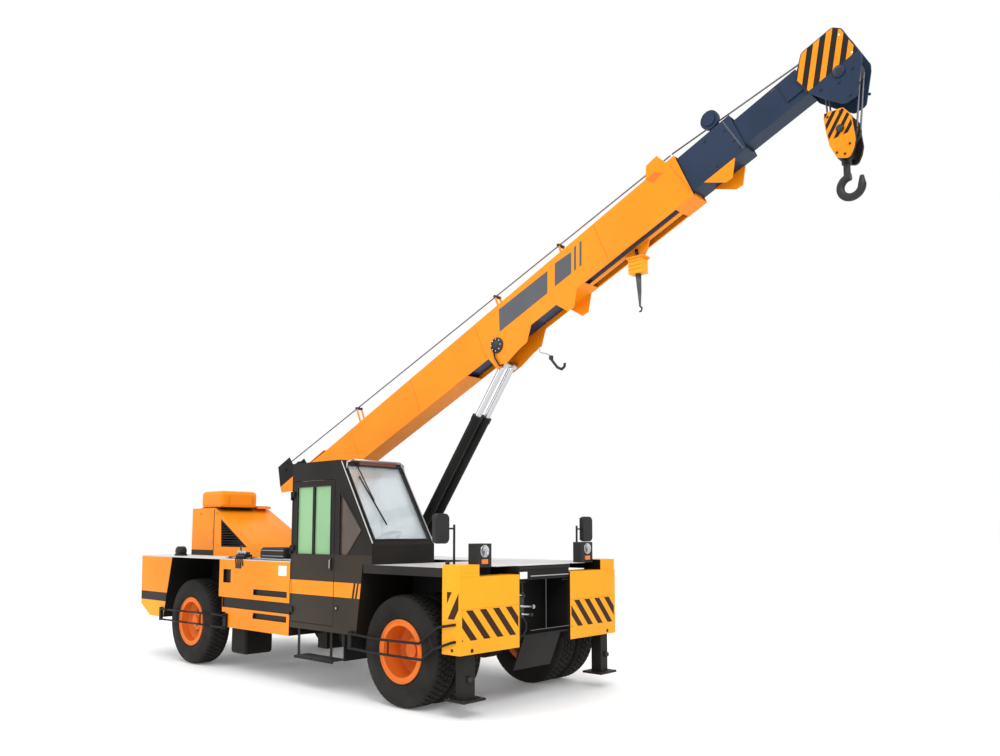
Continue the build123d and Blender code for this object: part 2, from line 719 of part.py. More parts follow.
def engine_hood():
    outline = [(hood_rear_x, deck_top), (hood_rear_x, hood_top), (hood_brow_x, hood_top),
               (hood_foot_x, hood_foot_z), (hood_front_x, deck_top)]
    cover = side_plate(outline, hood_right_y, hood_left_y)
    room = side_plate([(x, z - 20) for x, z in inset(outline, 20)], hood_right_y + 20, hood_left_y - 20)
    vent = side_plate(hood_vent, hood_right_y - 1, hood_right_y + 21)
    seam = slab(hood_brow_x, hood_brow_x + hood_seam, hood_right_y - 1, hood_right_y + 6, deck_top + 5,
                hood_top - 20)
    return cover - room - vent - seam


def hood_cowl():
    body = slab(hood_rear_x + 200, hood_rear_x + 780, hood_right_y + 20, hood_left_y - 20, hood_top,
                hood_top + 250)
    return fillet(body.edges().filter_by(Axis.Y).group_by(Axis.Z)[-1] + body.edges().filter_by(Axis.Z), 60)


def hood_grille():
    """Triangular frame filled with level slats."""
    frame = side_plate(inset(hood_vent, seat_gap), hood_right_y + 4, hood_right_y + 16)
    gaps = side_plate(inset(hood_vent, grille_border), hood_right_y + 3, hood_right_y + 17)
    foot = hood_vent[1][1] + grille_border
    for row in range(1, 10):
        z = foot + row * slat_pitch - slat
        gaps -= slab(hood_brow_x, hood_foot_x, hood_right_y + 5, hood_right_y + 14, z, z + slat)
    return frame - gaps


def engine_block():
    return slab(hood_rear_x + 260, hood_rear_x + 1350, -500, 100, deck_top, 1640)


# ================================================================ boom
def mast():
    """Two cheek plates that carry the luffing pin."""
    foot = 460
    outline = [(pivot_x - foot, rail_high), (pivot_x - 120, pivot_z + 60), (pivot_x - 60, pivot_z + 120),
               (pivot_x + 60, pivot_z + 120), (pivot_x + 120, pivot_z + 60), (pivot_x + foot, rail_high)]
    cheek = side_plate(outline, -mast_inner_y - mast_plate, -mast_inner_y)
    cheeks = cheek + mirrored(cheek)
    tie = slab(pivot_x - foot, pivot_x + foot, -rail_face, rail_face, rail_high, rail_high + 20)
    back = slab(pivot_x - 330, pivot_x - 310, -mast_inner_y, mast_inner_y, rail_high + 20, rail_high + 250)
    return cheeks + tie + back - bar_y(pivot_x, pivot_z, pivot_r + shaft_gap, -300, 300)


def pivot_pin():
    return bar_y(pivot_x, pivot_z, pivot_r, -mast_inner_y - mast_plate - 12, mast_inner_y + mast_plate + 12)


def tube(u0, u1, half, low, top, wall):
    """Open box section of the boom."""
    body = slab(u0, u1, -half, half, low, top)
    return body - slab(u0 - 1, u1 + 1, -half + wall, half - wall, low + wall, top - wall)


tail_u = -1130.0
winch_seat_v = 568.0


def boom_base():
    body = tube(0, boom_front_u, boom_half, boom_low, boom_top, boom_plate)
    tail = [(tail_u, 480), (tail_u, winch_seat_v), (0, boom_top), (400, boom_top), (400, boom_low),
            (-60, boom_low)]
    ears = [(-240, boom_low), (-90, -60), (-50, -95), (50, -95), (90, -60), (400, boom_low)]
    belly = [(3130, boom_low), (3200, -135), (3340, -135), (3560, -95), (3690, -85), (3820, boom_low)]
    lug = [(4200, boom_low), (4300, -100), (4385, -105), (4500, boom_low)]
    crest = [(boom_front_u - 350, boom_top), (boom_front_u - 285, boom_top + 120),
             (boom_front_u - 150, boom_top + 130),
             (boom_front_u - 100, boom_top)]
    for outline in (tail, ears, belly, lug, crest):
        cheek = side_plate(outline, -boom_half, -boom_half + boom_plate)
        body += cheek + mirrored(cheek)
    body += slab(tail_u, 0, -boom_half, boom_half, winch_seat_v - boom_plate, winch_seat_v)
    window = slab(2760, 4200, -boom_half + boom_plate, boom_half - boom_plate, boom_low - 1,
                  boom_low + boom_plate + 1)
    body -= window
    slot_front_u = boom_front_u - pad_length - 40
    slot = slab(slot_rear_u, slot_front_u, slot_near, slot_far, boom_low - 1, boom_low + boom_plate + 1)
    body -= slot + mirrored(slot)
    body += bar_y(boom_front_u - 215, boom_top + 80, 30, -boom_half + boom_plate, boom_half - boom_plate)
    body += side_plate([(5070, boom_low), (5240, -70), (5320, -20), (5380, boom_low)], -14, 14)
    body += slab(boom_front_u - pad_length, boom_front_u, -70, 70, boom_low + boom_plate, mid_low - seat_gap)
    body -= bar_y(0, 0, pivot_r + shaft_gap, -200, 200)
    return boom_frame * body


def boom_mid():
    body = tube(section_rear_u, mid_front_u, mid_half, mid_low, mid_top, boom_plate)
    inner_wall = boom_half - boom_plate - seat_gap
    for side in (-1, 1):
        body += slab(section_rear_u, section_rear_u + pad_length, side * mid_half, side * inner_wall,
                     mid_low + 60, mid_top - 60)
    body += slab(section_rear_u, section_rear_u + pad_length, -70, 70, mid_top,
                 boom_top - boom_plate - seat_gap)
    body += slab(mid_front_u - pad_length, mid_front_u, -60, 60, mid_low + boom_plate, fly_low - seat_gap)
    return boom_frame * body


def boom_fly():
    body = tube(section_rear_u + section_step_u, fly_front_u, fly_half, fly_low, fly_top, boom_plate)
    inner_wall = mid_half - boom_plate - seat_gap
    rear = section_rear_u + section_step_u
    for side in (-1, 1):
        body += slab(rear, rear + pad_length, side * fly_half, side * inner_wall, fly_low + 40, fly_top - 40)
    body += slab(rear, rear + pad_length, -60, 60, fly_top, mid_top - boom_plate - seat_gap)
    return boom_frame * body


def mid_lug():
    """Bracket under the front of the middle section."""
    outline = [(mid_front_u - 470, mid_low), (mid_front_u - 300, -45), (mid_front_u - 230, -50),
               (mid_front_u - 130, mid_low)]
    plate = side_plate(outline, -mid_half, -mid_half + 12)
    return boom_frame * group([plate, mirrored(plate)])


def cable_reel():
    """Spring reel of the load-sensing cable, on top of the middle section."""
    post = slab(reel_u - 50, reel_u + 50, -mid_half + 45, -mid_half + 65, mid_top, mid_top + 110)
    drum = bar_y(reel_u, mid_top + 105, reel_r, -mid_half + 5, -mid_half + 45)
    rim = bar_y(reel_u, mid_top + 105, reel_r - 30, -mid_half - 8, -mid_half + 5)
    return boom_frame * (post + drum + rim)


# corners of a head cheek from the sheave axle, along and square to the boom
head_corners = [(-315, 218), (-166, 392), (128, 391), (184, 319), (206, 2), (182, -55), (17, -295),
                (-88, -287),
                (-174, -158), (-271, 13)]


def head_cheeks():
    """Head plates at the end of the fly section."""
    outline = [(sheave_u + du, sheave_v + dv) for du, dv in head_corners]
    cheek = round_plate(outline, head_round, -head_half, -head_half + head_plate)
    body = cheek + mirrored(cheek)
    for side in (-1, 1):
        body += slab(fly_front_u - 180, fly_front_u + 60, side * (fly_half + seat_gap),
                     side * (head_half - head_plate),
                     fly_low + 60, fly_top - 30)
    return boom_frame * (body - bar_y(sheave_u, sheave_v, sheave_pin_r + shaft_gap, -200, 200))


def head_sheaves():
    """Three grooved sheaves and their axle."""
    end = head_half - head_plate - seat_gap
    wheels = bar_y(0, 0, sheave_pin_r, -head_half - 14, head_half + 14) + bar_y(0, 0, sheave_pin_r + 16,
                                                                                -end, end)
    for row in (-1, 0, 1):
        wheels += sheave(row * sheave_pitch, sheave_r, sheave_pin_r)
    return boom_frame * Pos(sheave_u, 0, sheave_v) * wheels


def lift_barrels():
    """Pair of lift cylinders on one foot pin."""
    solids = None
    for side in (-1, 1):
        y = side * lift_y
        tube_body = Pos(barrel_length / 2 + 45, y, 0) * Rot(0, 90, 0) * Cylinder(barrel_r,
                                                                                 barrel_length - 90)
        tube_body -= Pos(barrel_length / 2 + 100, y, 0) * Rot(0, 90, 0) * Cylinder(barrel_r - barrel_wall,
                                                                                   barrel_length)
        gland = Pos(barrel_length - 30, y, 0) * Rot(0, 90, 0) * Cylinder(barrel_r + 6, 60)
        gland -= Pos(barrel_length - 30, y, 0) * Rot(0, 90, 0) * Cylinder(rod_r + shaft_gap, 80)
        eye = bar_y(0, 0, 60, y - 50, y + 50)
        neck = slab(0, 110, y - 40, y + 40, -45, 45)
        one = tube_body + gland + eye + neck - bar_y(0, 0, 30 + shaft_gap, y - 60, y + 60)
        solids = one if solids is None else solids + one
    return lift_frame * solids


def lift_rods():
    solids = None
    start = barrel_length - 1250
    for side in (-1, 1):
        y = side * lift_y
        rod = Pos((start + lift_length) / 2, y, 0) * Rot(0, 90, 0) * Cylinder(rod_r, lift_length - start)
        eye = bar_y(lift_length, 0, eye_r, y - 34, y + 34)
        one = rod + eye
        solids = one if solids is None else solids + one
    solids += bar_y(lift_length, 0, 26, -boom_half + boom_plate + move_gap,
                    boom_half - boom_plate - move_gap)
    return lift_frame * solids


winch_u, winch_v = tail_u + 210, 740.0


def winch_frame():
    outline = [(tail_u, winch_seat_v), (tail_u + 60, 860), (tail_u + 360, 860), (tail_u + 440, winch_seat_v)]
    side = side_plate(outline, -boom_half, -boom_half + 12)
    return boom_frame * (side + mirrored(side) - bar_y(winch_u, winch_v, 25 + shaft_gap, -200, 200))


def winch_drum():
    drum = bar_y(winch_u, winch_v, 90, -boom_half + 20, boom_half - 20)
    drum += bar_y(winch_u, winch_v, 25, -boom_half - 10, boom_half + 10)
    for y in (-boom_half + 20, boom_half - 32):
        drum += bar_y(winch_u, winch_v, 135, y, y + 12)
    return boom_frame * drum


# ================================================================ hook block
# corners of a block cheek from the block's axle, (x, z)
block_corners = [(-139, 180), (27, 178), (93, 93), (119, -124), (105, -192), (67, -271), (-36, -239),
                 (-96, -115),
                 (-126, 44)]


def hook_block():
    """Side cheeks, axle and the cross-head that carries the hook."""
    outline = [(block_x + dx, block_axle_z + dz) for dx, dz in block_corners]
    plate = round_plate(outline, block_round, -block_half, -block_half + block_plate)
    body = plate + mirrored(plate)
    body += bar_y(block_x, block_axle_z, block_pin_r, -block_half - 8, block_half + 8)
    inner = block_half - block_plate
    return body + slab(hook_x - 50, hook_x + 50, -inner, inner, cross_head_low, cross_head_low + 80)


def block_sheaves():
    """Two grooved sheaves on the block's axle."""
    end = block_half - block_plate - 6
    wheels = bar_y(0, 0, block_pin_r + 16, -end, end)
    for row in (-1, 1):
        wheels += sheave(row * sheave_pitch, block_sheave_r, block_pin_r)
    return Pos(block_x, 0, block_axle_z) * (wheels - bar_y(0, 0, block_pin_r + shaft_gap, -end - 1, end + 1))


def hoist_falls():
    """Rope falls between the head sheaves and the block."""
    falls = []
    for side in (-1, 1):
        top = sheave_x + side * (sheave_r + rope_r + rope_gap)
        foot = block_x + side * (block_sheave_r + rope_r + rope_gap)
        falls += [rod_between((top, y, sheave_z), (foot, y, block_axle_z), rope_r)
                  for y in (-sheave_pitch, sheave_pitch)]
    return group(falls)


def hook():
    """Forged hook under the cross-head: collar, shank, open bowl and blunt point."""
    ring = Pos(bowl_x, 0, bowl_z) * Rot(90, 0, 0) * Torus(bowl_r, hook_r)
    mouth = slab(bowl_x, bowl_x + 2 * bowl_r, -2 * hook_r, 2 * hook_r, bowl_z, bowl_z + 2 * bowl_r)
    point_length = 2.2 * hook_r
    point = Pos(bowl_x + bowl_r, 0, bowl_z + point_length / 2) * Cone(hook_r, hook_r / 2, point_length)
    top = cross_head_low - seat_gap
    shank = bar_z(hook_x, 0, shank_r, bowl_z + 65, top) + bar_z(hook_x, 0, shank_r + 12, top - 42, top)
    return ring - mouth + point + shank


# ================================================================ output
nodes = {
    "front_tyres_right": at_front(tyre(outer_y) + tyre(inner_y)),
    "front_rims_right": at_front(front_rims()),
    "rear_tyre_right": at_rear(tyre(outer_y)),
    "rear_rim_right": at_rear(rear_rim()),
    "knuckle_right": knuckle(),
    "front_box_right": front_box(),
    "jack_leg_right": jack_leg(),
    "arch_wall_right": arch_wall(),
}
for name in list(nodes):
    nodes[name.replace("_right", "_left")] = mirrored(nodes[name])
both_sides = {"wheel_guards": wheel_guards(), "headlamps": headlamp(), "mirrors": mirror_arm()}
for name, shape in both_sides.items():
    nodes[name] = group([shape, mirrored(shape)])
nodes.update({
    "front_axle": front_axle(),
    "rear_axle": rear_axle(),
    "chassis_frame": chassis_frame(),
    "foot_pin": foot_pin(),
    "rear_body": rear_body(),
    "side_box_right": right_side_box(),
    "side_box_left": mirrored(side_box(-200)),
    "side_tank": side_tank(),
    "deck_box": deck_box(),
    "cab_step": cab_step(),
    "rear_deck": rear_deck(),
    "front_deck": front_deck(),
    "cab_shell": cab_shell(),
    "cab_door": cab_door(),
    "door_glass": door_glass(),
    "cab_glass": cab_glass(),
    "seat": seat(),
    "seat_stand": seat_stand(),
    "console": console(),
    "engine_hood": engine_hood(),
    "hood_cowl": hood_cowl(),
    "hood_grille": hood_grille(),
    "engine_block": engine_block(),
    "mast": mast(),
    "pivot_pin": pivot_pin(),
    "boom_base": boom_base(),
    "boom_mid": boom_mid(),
    "boom_fly": boom_fly(),
    "mid_lug": mid_lug(),
    "cable_reel": cable_reel(),
    "head_cheeks": head_cheeks(),
    "head_sheaves": head_sheaves(),
    "lift_barrels": lift_barrels(),
    "lift_rods": lift_rods(),
    "winch_frame": winch_frame(),
    "winch_drum": winch_drum(),
    "hook_block": hook_block(),
    "block_sheaves": block_sheaves(),
    "hoist_falls": hoist_falls(),
    "hook": hook(),
})
for name, shape in nodes.items():
    export_step(shape, f"parts/{name}.step")
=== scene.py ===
# %% [markdown]
# # Dressing a packed mobile crane
# The CAD model is already packed, so this script adds what a CAD file leaves out: paint, rubber, tread,
# stripes, bolts and the small fittings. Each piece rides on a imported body, so it follows that body's joint.
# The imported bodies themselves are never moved.

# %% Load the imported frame
import bpy, bmesh, json, math
from mathutils import Matrix, Vector


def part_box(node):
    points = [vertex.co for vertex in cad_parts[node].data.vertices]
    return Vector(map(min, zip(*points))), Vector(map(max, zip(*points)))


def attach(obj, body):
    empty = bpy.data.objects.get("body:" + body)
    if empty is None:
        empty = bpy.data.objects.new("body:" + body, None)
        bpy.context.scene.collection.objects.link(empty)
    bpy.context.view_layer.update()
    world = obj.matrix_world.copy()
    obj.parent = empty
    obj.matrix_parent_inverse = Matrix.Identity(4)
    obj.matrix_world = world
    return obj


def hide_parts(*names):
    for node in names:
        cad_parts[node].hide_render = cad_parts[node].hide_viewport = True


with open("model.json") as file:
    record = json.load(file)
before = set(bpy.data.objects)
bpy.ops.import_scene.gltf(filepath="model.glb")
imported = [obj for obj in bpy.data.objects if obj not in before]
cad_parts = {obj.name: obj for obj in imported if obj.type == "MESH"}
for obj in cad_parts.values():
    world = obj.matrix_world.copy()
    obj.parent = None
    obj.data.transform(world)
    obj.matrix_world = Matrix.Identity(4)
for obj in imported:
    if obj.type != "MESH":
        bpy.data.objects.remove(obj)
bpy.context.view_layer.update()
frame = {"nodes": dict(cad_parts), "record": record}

# %% [markdown]
# ## Where things are
# The boom is slanted at rest, so its fittings are placed in its own frame: u runs along it from the luffing
# hinge, v stands square to it, and y goes across. Typing every place in the part's frame would hide that the
# boom is a straight box, so the hinge and the extension slide of the record give its frame. The faces of the
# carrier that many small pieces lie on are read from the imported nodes. Other places are plain coordinates of
# the part's frame, in metres, with x to the front, y to the left and z up.

# %% Places read from the record and the nodes
joints = {j["name"]: j for j in frame["record"]["behaviour"]["joints"]}
pivot = Vector(joints["luff"]["pos_m"])
along = Vector(joints["extend_mid"]["axis"]).normalized()
square = Vector((-along.z, 0, along.x))
boom_frame = Matrix(((along.x, 0, square.x, pivot.x), (0, 1, 0, 0),
                     (along.z, 0, square.z, pivot.z), (0, 0, 0, 1)))


def on_boom(u, y, v):
    """Point of the boom's own frame, given in the part's frame."""
    return boom_frame @ Vector((u, y, v))


def corners(node):
    """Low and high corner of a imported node."""
    low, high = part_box(node)
    return Vector(low), Vector(high)


axle_front = Vector(joints["front_spin_right"]["pos_m"])
axle_rear = Vector(joints["rear_spin_right"]["pos_m"])
side_face = corners("front_deck")[1].y
deck_top = corners("front_deck")[1].z
nose_face = corners("front_box_right")[1].x
tail_face = corners("rear_body")[0].x
# Half widths of the boom's base, mid and fly sections, without their pads.
base_half, mid_half, fly_half = 0.130, 0.110, 0.090
# Each side with its hand, the sign of y.
both_sides = (("right", -1), ("left", 1))
print("boom pivot", pivot[:], "side", side_face, "deck", deck_top, "nose", nose_face, "tail", tail_face)

# %% [markdown]
# ## Materials
# Sprayed paint is never quite even: it is a little darker where it is thin, dusty near the ground and finely
# grained. A painted image could show that, but it would need a map for each piece. Here one function builds
# every finish from two noises on Object coordinates, a slow one for the colour and a fine one for the
# roughness and the bump, so a finish lies still on its piece and needs no map.

# %% The finish builder
def dusted(tree, surface, place, patches, amount):
    """Mix pale soil over a colour, most at the ground and none above 1.1 m."""
    axes = tree.nodes.new("ShaderNodeSeparateXYZ")
    height = tree.nodes.new("ShaderNodeMapRange")
    height.inputs["From Min"].default_value = 0.0
    height.inputs["From Max"].default_value = 1.1
    height.inputs["To Min"].default_value = amount
    height.inputs["To Max"].default_value = 0.0
    patchy = tree.nodes.new("ShaderNodeMath")
    patchy.operation = "MULTIPLY"
    soil = tree.nodes.new("ShaderNodeMix")
    soil.data_type = "RGBA"
    factor, base, over = soil.inputs[0], soil.inputs[6], soil.inputs[7]
    over.default_value = (0.23, 0.20, 0.16, 1)
    tree.links.new(place, axes.inputs["Vector"])
    tree.links.new(axes.outputs["Z"], height.inputs["Value"])
    tree.links.new(height.outputs["Result"], patchy.inputs[0])
    tree.links.new(patches, patchy.inputs[1])
    tree.links.new(patchy.outputs["Value"], factor)
    tree.links.new(surface, base)
    return soil.outputs[2]


def noise(tree, place, scale, detail):
    """Grey noise read at a place."""
    node = tree.nodes.new("ShaderNodeTexNoise")
    node.inputs["Scale"].default_value = scale
    node.inputs["Detail"].default_value = detail
    tree.links.new(place, node.inputs["Vector"])
    return node.outputs["Fac"]


def shader(name, color, rough=0.4, drift=0.12, scale=1.3, grain=40.0, bump=0.05, metal=0.0, coat=0.0,
           dust=0.0, spec=0.5, glass=0.0, sheen=0.0, alpha=1.0, glow=0.0):
    """A finish: its colour drifts by the share drift, and its grain moves the roughness and the bump."""
    mat = bpy.data.materials.new(name)
    mat.use_nodes = True
    tree = mat.node_tree
    bsdf = tree.nodes["Principled BSDF"]
    for label, value in (("Metallic", metal), ("Coat Weight", coat), ("Coat Roughness", 0.12),
                         ("Specular IOR Level", spec), ("Transmission Weight", glass),
                         ("Sheen Weight", sheen), ("Alpha", alpha)):
        bsdf.inputs[label].default_value = value
    if glow:
        bsdf.inputs["Emission Color"].default_value = (*color, 1)
        bsdf.inputs["Emission Strength"].default_value = glow
    place = tree.nodes.new("ShaderNodeTexCoord").outputs["Object"]
    slow = noise(tree, place, scale, 6)
    fine = noise(tree, place, grain, 4)
    ramp = tree.nodes.new("ShaderNodeValToRGB")
    dark = [c * (1 - drift) for c in color]
    light = [min(1.0, c * (1 + 0.5 * drift) + 0.02 * drift) for c in color]
    for stop, position, tone in zip(ramp.color_ramp.elements, (0.32, 0.68), (dark, light)):
        stop.position = position
        stop.color = (*tone, 1)
    tree.links.new(slow, ramp.inputs["Fac"])
    surface = ramp.outputs["Color"]
    if dust:
        surface = dusted(tree, surface, place, slow, dust)
    tree.links.new(surface, bsdf.inputs["Base Color"])
    rough_map = tree.nodes.new("ShaderNodeMapRange")
    rough_map.inputs["To Min"].default_value = max(0.02, rough - 0.07)
    rough_map.inputs["To Max"].default_value = min(1.0, rough + 0.09)
    tree.links.new(fine, rough_map.inputs["Value"])
    tree.links.new(rough_map.outputs["Result"], bsdf.inputs["Roughness"])
    if bump:
        relief = tree.nodes.new("ShaderNodeBump")
        relief.inputs["Strength"].default_value = bump
        relief.inputs["Distance"].default_value = 0.004
        tree.links.new(fine, relief.inputs["Height"])
        tree.links.new(relief.outputs["Normal"], bsdf.inputs["Normal"])
    return mat


print("finish builder ready")

# %% [markdown]
# ## The finishes of this crane
# The bodywork is sprayed orange, the jack boxes yellow-orange, the moving boom sections navy, and the frame
# and cab near black. Bare metal, glass, rubber and cloth follow. Colours are written as linear light, which
# is why the darks look so small. One dictionary holds them all, so a piece only names its finish.

# %% Paint, metal, glass and cloth
gloss = {"coat": 0.06, "spec": 0.16, "bump": 0.03, "dust": 0.07}
finishes = {
    "orange": shader("orange_paint", (0.84, 0.245, 0.003), 0.42, 0.10, **gloss),
    "yellow": shader("box_yellow", (0.84, 0.345, 0.004), 0.42, 0.10, **gloss),
    "cab": shader("cab_black", (0.009, 0.0065, 0.005), 0.40, 0.25, coat=0.03, spec=0.14, bump=0.03,
                  dust=0.05),
    "brown": shader("cab_brown", (0.024, 0.0165, 0.0092), 0.45, 0.2, coat=0.03, spec=0.16, bump=0.04,
                    dust=0.08),
    "black": shader("frame_black", (0.006, 0.0055, 0.005), 0.52, 0.30, spec=0.14, bump=0.10, dust=0.08),
    "stripe": shader("stripe_black", (0.009, 0.006, 0.005), 0.45, 0.2, spec=0.2, bump=0.03),
    "maroon": shader("hazard_bars", (0.034, 0.010, 0.003), 0.45, 0.2, spec=0.15, bump=0.03),
    "clay": shader("visor_clay", (0.26, 0.10, 0.075), 0.55, 0.15, spec=0.2, bump=0.05),
    "navy": shader("boom_navy", (0.0092, 0.0235, 0.055), 0.38, 0.18, coat=0.06, spec=0.22, bump=0.03),
    "panel": shader("panel_grey", (0.075, 0.080, 0.092), 0.40, 0.12, coat=0.05, spec=0.2, bump=0.02),
    "rubber": shader("tyre_rubber", (0.0088, 0.0082, 0.0075), 0.75, 0.22, scale=3.0, grain=120, bump=0.22,
                     spec=0.16, dust=0.09),
    "rim": shader("rim_orange", (0.74, 0.155, 0.012), 0.48, 0.14, spec=0.18, bump=0.05, dust=0.12),
    "steel": shader("bare_steel", (0.46, 0.47, 0.48), 0.33, 0.15, metal=1.0, grain=90, bump=0.06),
    "plate": shader("tread_plate", (0.66, 0.66, 0.65), 0.36, 0.12, metal=0.6, grain=70, bump=0.08),
    "chrome": shader("hard_chrome", (0.50, 0.51, 0.53), 0.16, 0.04, metal=1.0, bump=0.0),
    "iron": shader("forged_iron", (0.020, 0.021, 0.023), 0.50, 0.25, metal=0.4, grain=60, bump=0.18),
    "glass": shader("screen_glass", (0.84, 0.93, 0.97), 0.04, 0.03, glass=0.55, alpha=0.52, bump=0.0),
    "tint": shader("green_glass", (0.36, 0.66, 0.34), 0.05, 0.06, glass=0.35, alpha=0.82, bump=0.0),
    "smoke": shader("brown_glass", (0.11, 0.075, 0.055), 0.05, 0.10, glass=0.3, alpha=0.80, bump=0.0),
    "fabric": shader("seat_cloth", (0.030, 0.030, 0.034), 0.85, 0.2, grain=260, bump=0.35, sheen=0.4),
    "plastic": shader("moulded_black", (0.012, 0.012, 0.013), 0.55, 0.15, grain=160, bump=0.16, spec=0.3),
    "hose": shader("hose_rubber", (0.012, 0.012, 0.012), 0.60, 0.15, grain=200, bump=0.2, spec=0.25),
    "lens": shader("lamp_lens", (0.86, 0.88, 0.90), 0.10, 0.03, glass=0.35, glow=0.25, bump=0.0),
    "amber": shader("amber_lens", (0.95, 0.22, 0.02), 0.16, 0.05, glass=0.25, bump=0.0),
    "red": shader("red_lens", (0.60, 0.02, 0.015), 0.16, 0.05, glass=0.2, bump=0.0),
    "white": shader("white_plate", (0.80, 0.80, 0.78), 0.40, 0.05, bump=0.02),
    "rope": shader("wire_rope", (0.16, 0.16, 0.17), 0.42, 0.2, metal=0.8, grain=300, bump=0.5),
}
print("finishes", len(finishes))

# %% [markdown]
# ## Finishes of the CAD nodes
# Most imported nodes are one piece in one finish, so they only need a material. A loop over names would do,
# but a table that lists each finish with the beginnings of its nodes' names is easier to read and to change.
# The longest beginning wins, so "seat_stand" isn't taken for "seat".

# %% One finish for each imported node
nodes_in = {
    "orange": ("rear_body", "side_box", "engine_hood", "hood_cowl", "boom_base", "hook_block", "mid_lug"),
    "yellow": ("front_box",),
    "navy": ("boom_mid", "boom_fly", "head_cheeks", "cable_reel"),
    "cab": ("cab_shell", "cab_door", "deck_box"),
    "black": ("knuckle", "jack_leg", "arch_wall", "front_axle", "rear_axle", "chassis", "seat_stand",
              "hood_grille", "mast", "lift_barrels", "winch_frame", "winch_drum", "wheel_guards",
              "side_tank"),
    "plate": ("rear_deck", "front_deck"),
    "steel": ("foot_pin", "pivot_pin", "cab_step"),
    "iron": ("engine_block", "head_sheaves", "block_sheaves", "hook"),
    "rim": ("front_rims", "rear_rim"),
    "rubber": ("front_tyres", "rear_tyre"),
    "plastic": ("console", "headlamps", "mirrors"),
    "tint": ("door_glass",),
    "glass": ("cab_glass",),
    "fabric": ("seat",),
    "chrome": ("lift_rods",),
    "rope": ("hoist_falls",),
}
finish_of = {start: mat for mat, starts in nodes_in.items() for start in starts}
for name, node in frame["nodes"].items():
    key = max((start for start in finish_of if name.startswith(start)), key=len)
    node.data.materials.clear()
    node.data.materials.append(finishes[finish_of[key]])
print("dressed", len(frame["nodes"]), "nodes")

# %% [markdown]
# ## A small mesh kit
# The fittings of a crane are cut plate, bar, tube and turned parts. Each could be a primitive with its own
# modifiers, but hundreds of objects are slow to handle. So the next cells build a `Piece`, which gathers such
# solids in one mesh and becomes one object that rides on one body. The small helpers it needs come first.

# %% Plain objects
def plain_object(name, data):
    """Object at the origin that holds a mesh, a light or a camera."""
    obj = bpy.data.objects.new(name, data)
    bpy.context.scene.collection.objects.link(obj)
    return obj


def mesh_from(bm, name):
    """Plain mesh from a bmesh, which is used up."""
    mesh = bpy.data.meshes.new(name)
    bm.to_mesh(mesh)
    bm.free()
    return mesh


def settle(obj):
    """Turn the evaluated object into plain mesh and drop its modifiers."""
    graph = bpy.context.evaluated_depsgraph_get()
    graph.update()
    mesh = bpy.data.meshes.new_from_object(obj.evaluated_get(graph))
    obj.modifiers.clear()
    old = obj.data
    obj.data = mesh
    bpy.data.meshes.remove(old)


def circle(radius, sides):
    """Points (a, b) round a circle."""
    steps = [2 * math.pi * k / sides for k in range(sides)]
    return [(radius * math.cos(t), radius * math.sin(t)) for t in steps]


def handed(hand, profile):
    """Profile of a turned part for one side: hand is -1 on the right and 1 on the left."""
    return [(hand * s, r) for s, r in profile]


def straight(x, y, z):
    """Place function of the part's own frame."""
    return Vector((x, y, z))


print("objects ready")

# %% [markdown]
# ## Prisms, bars, turned parts and tubes
# Four calls make nearly everything: a prism for cut plate, a rod for pins and bars, a lathe for turned parts,
# and a tube that joins rods with a ball at each bend. A place function says where a plate's flat outline
# goes, so the same call serves the slanted boom and the upright side of the cab.

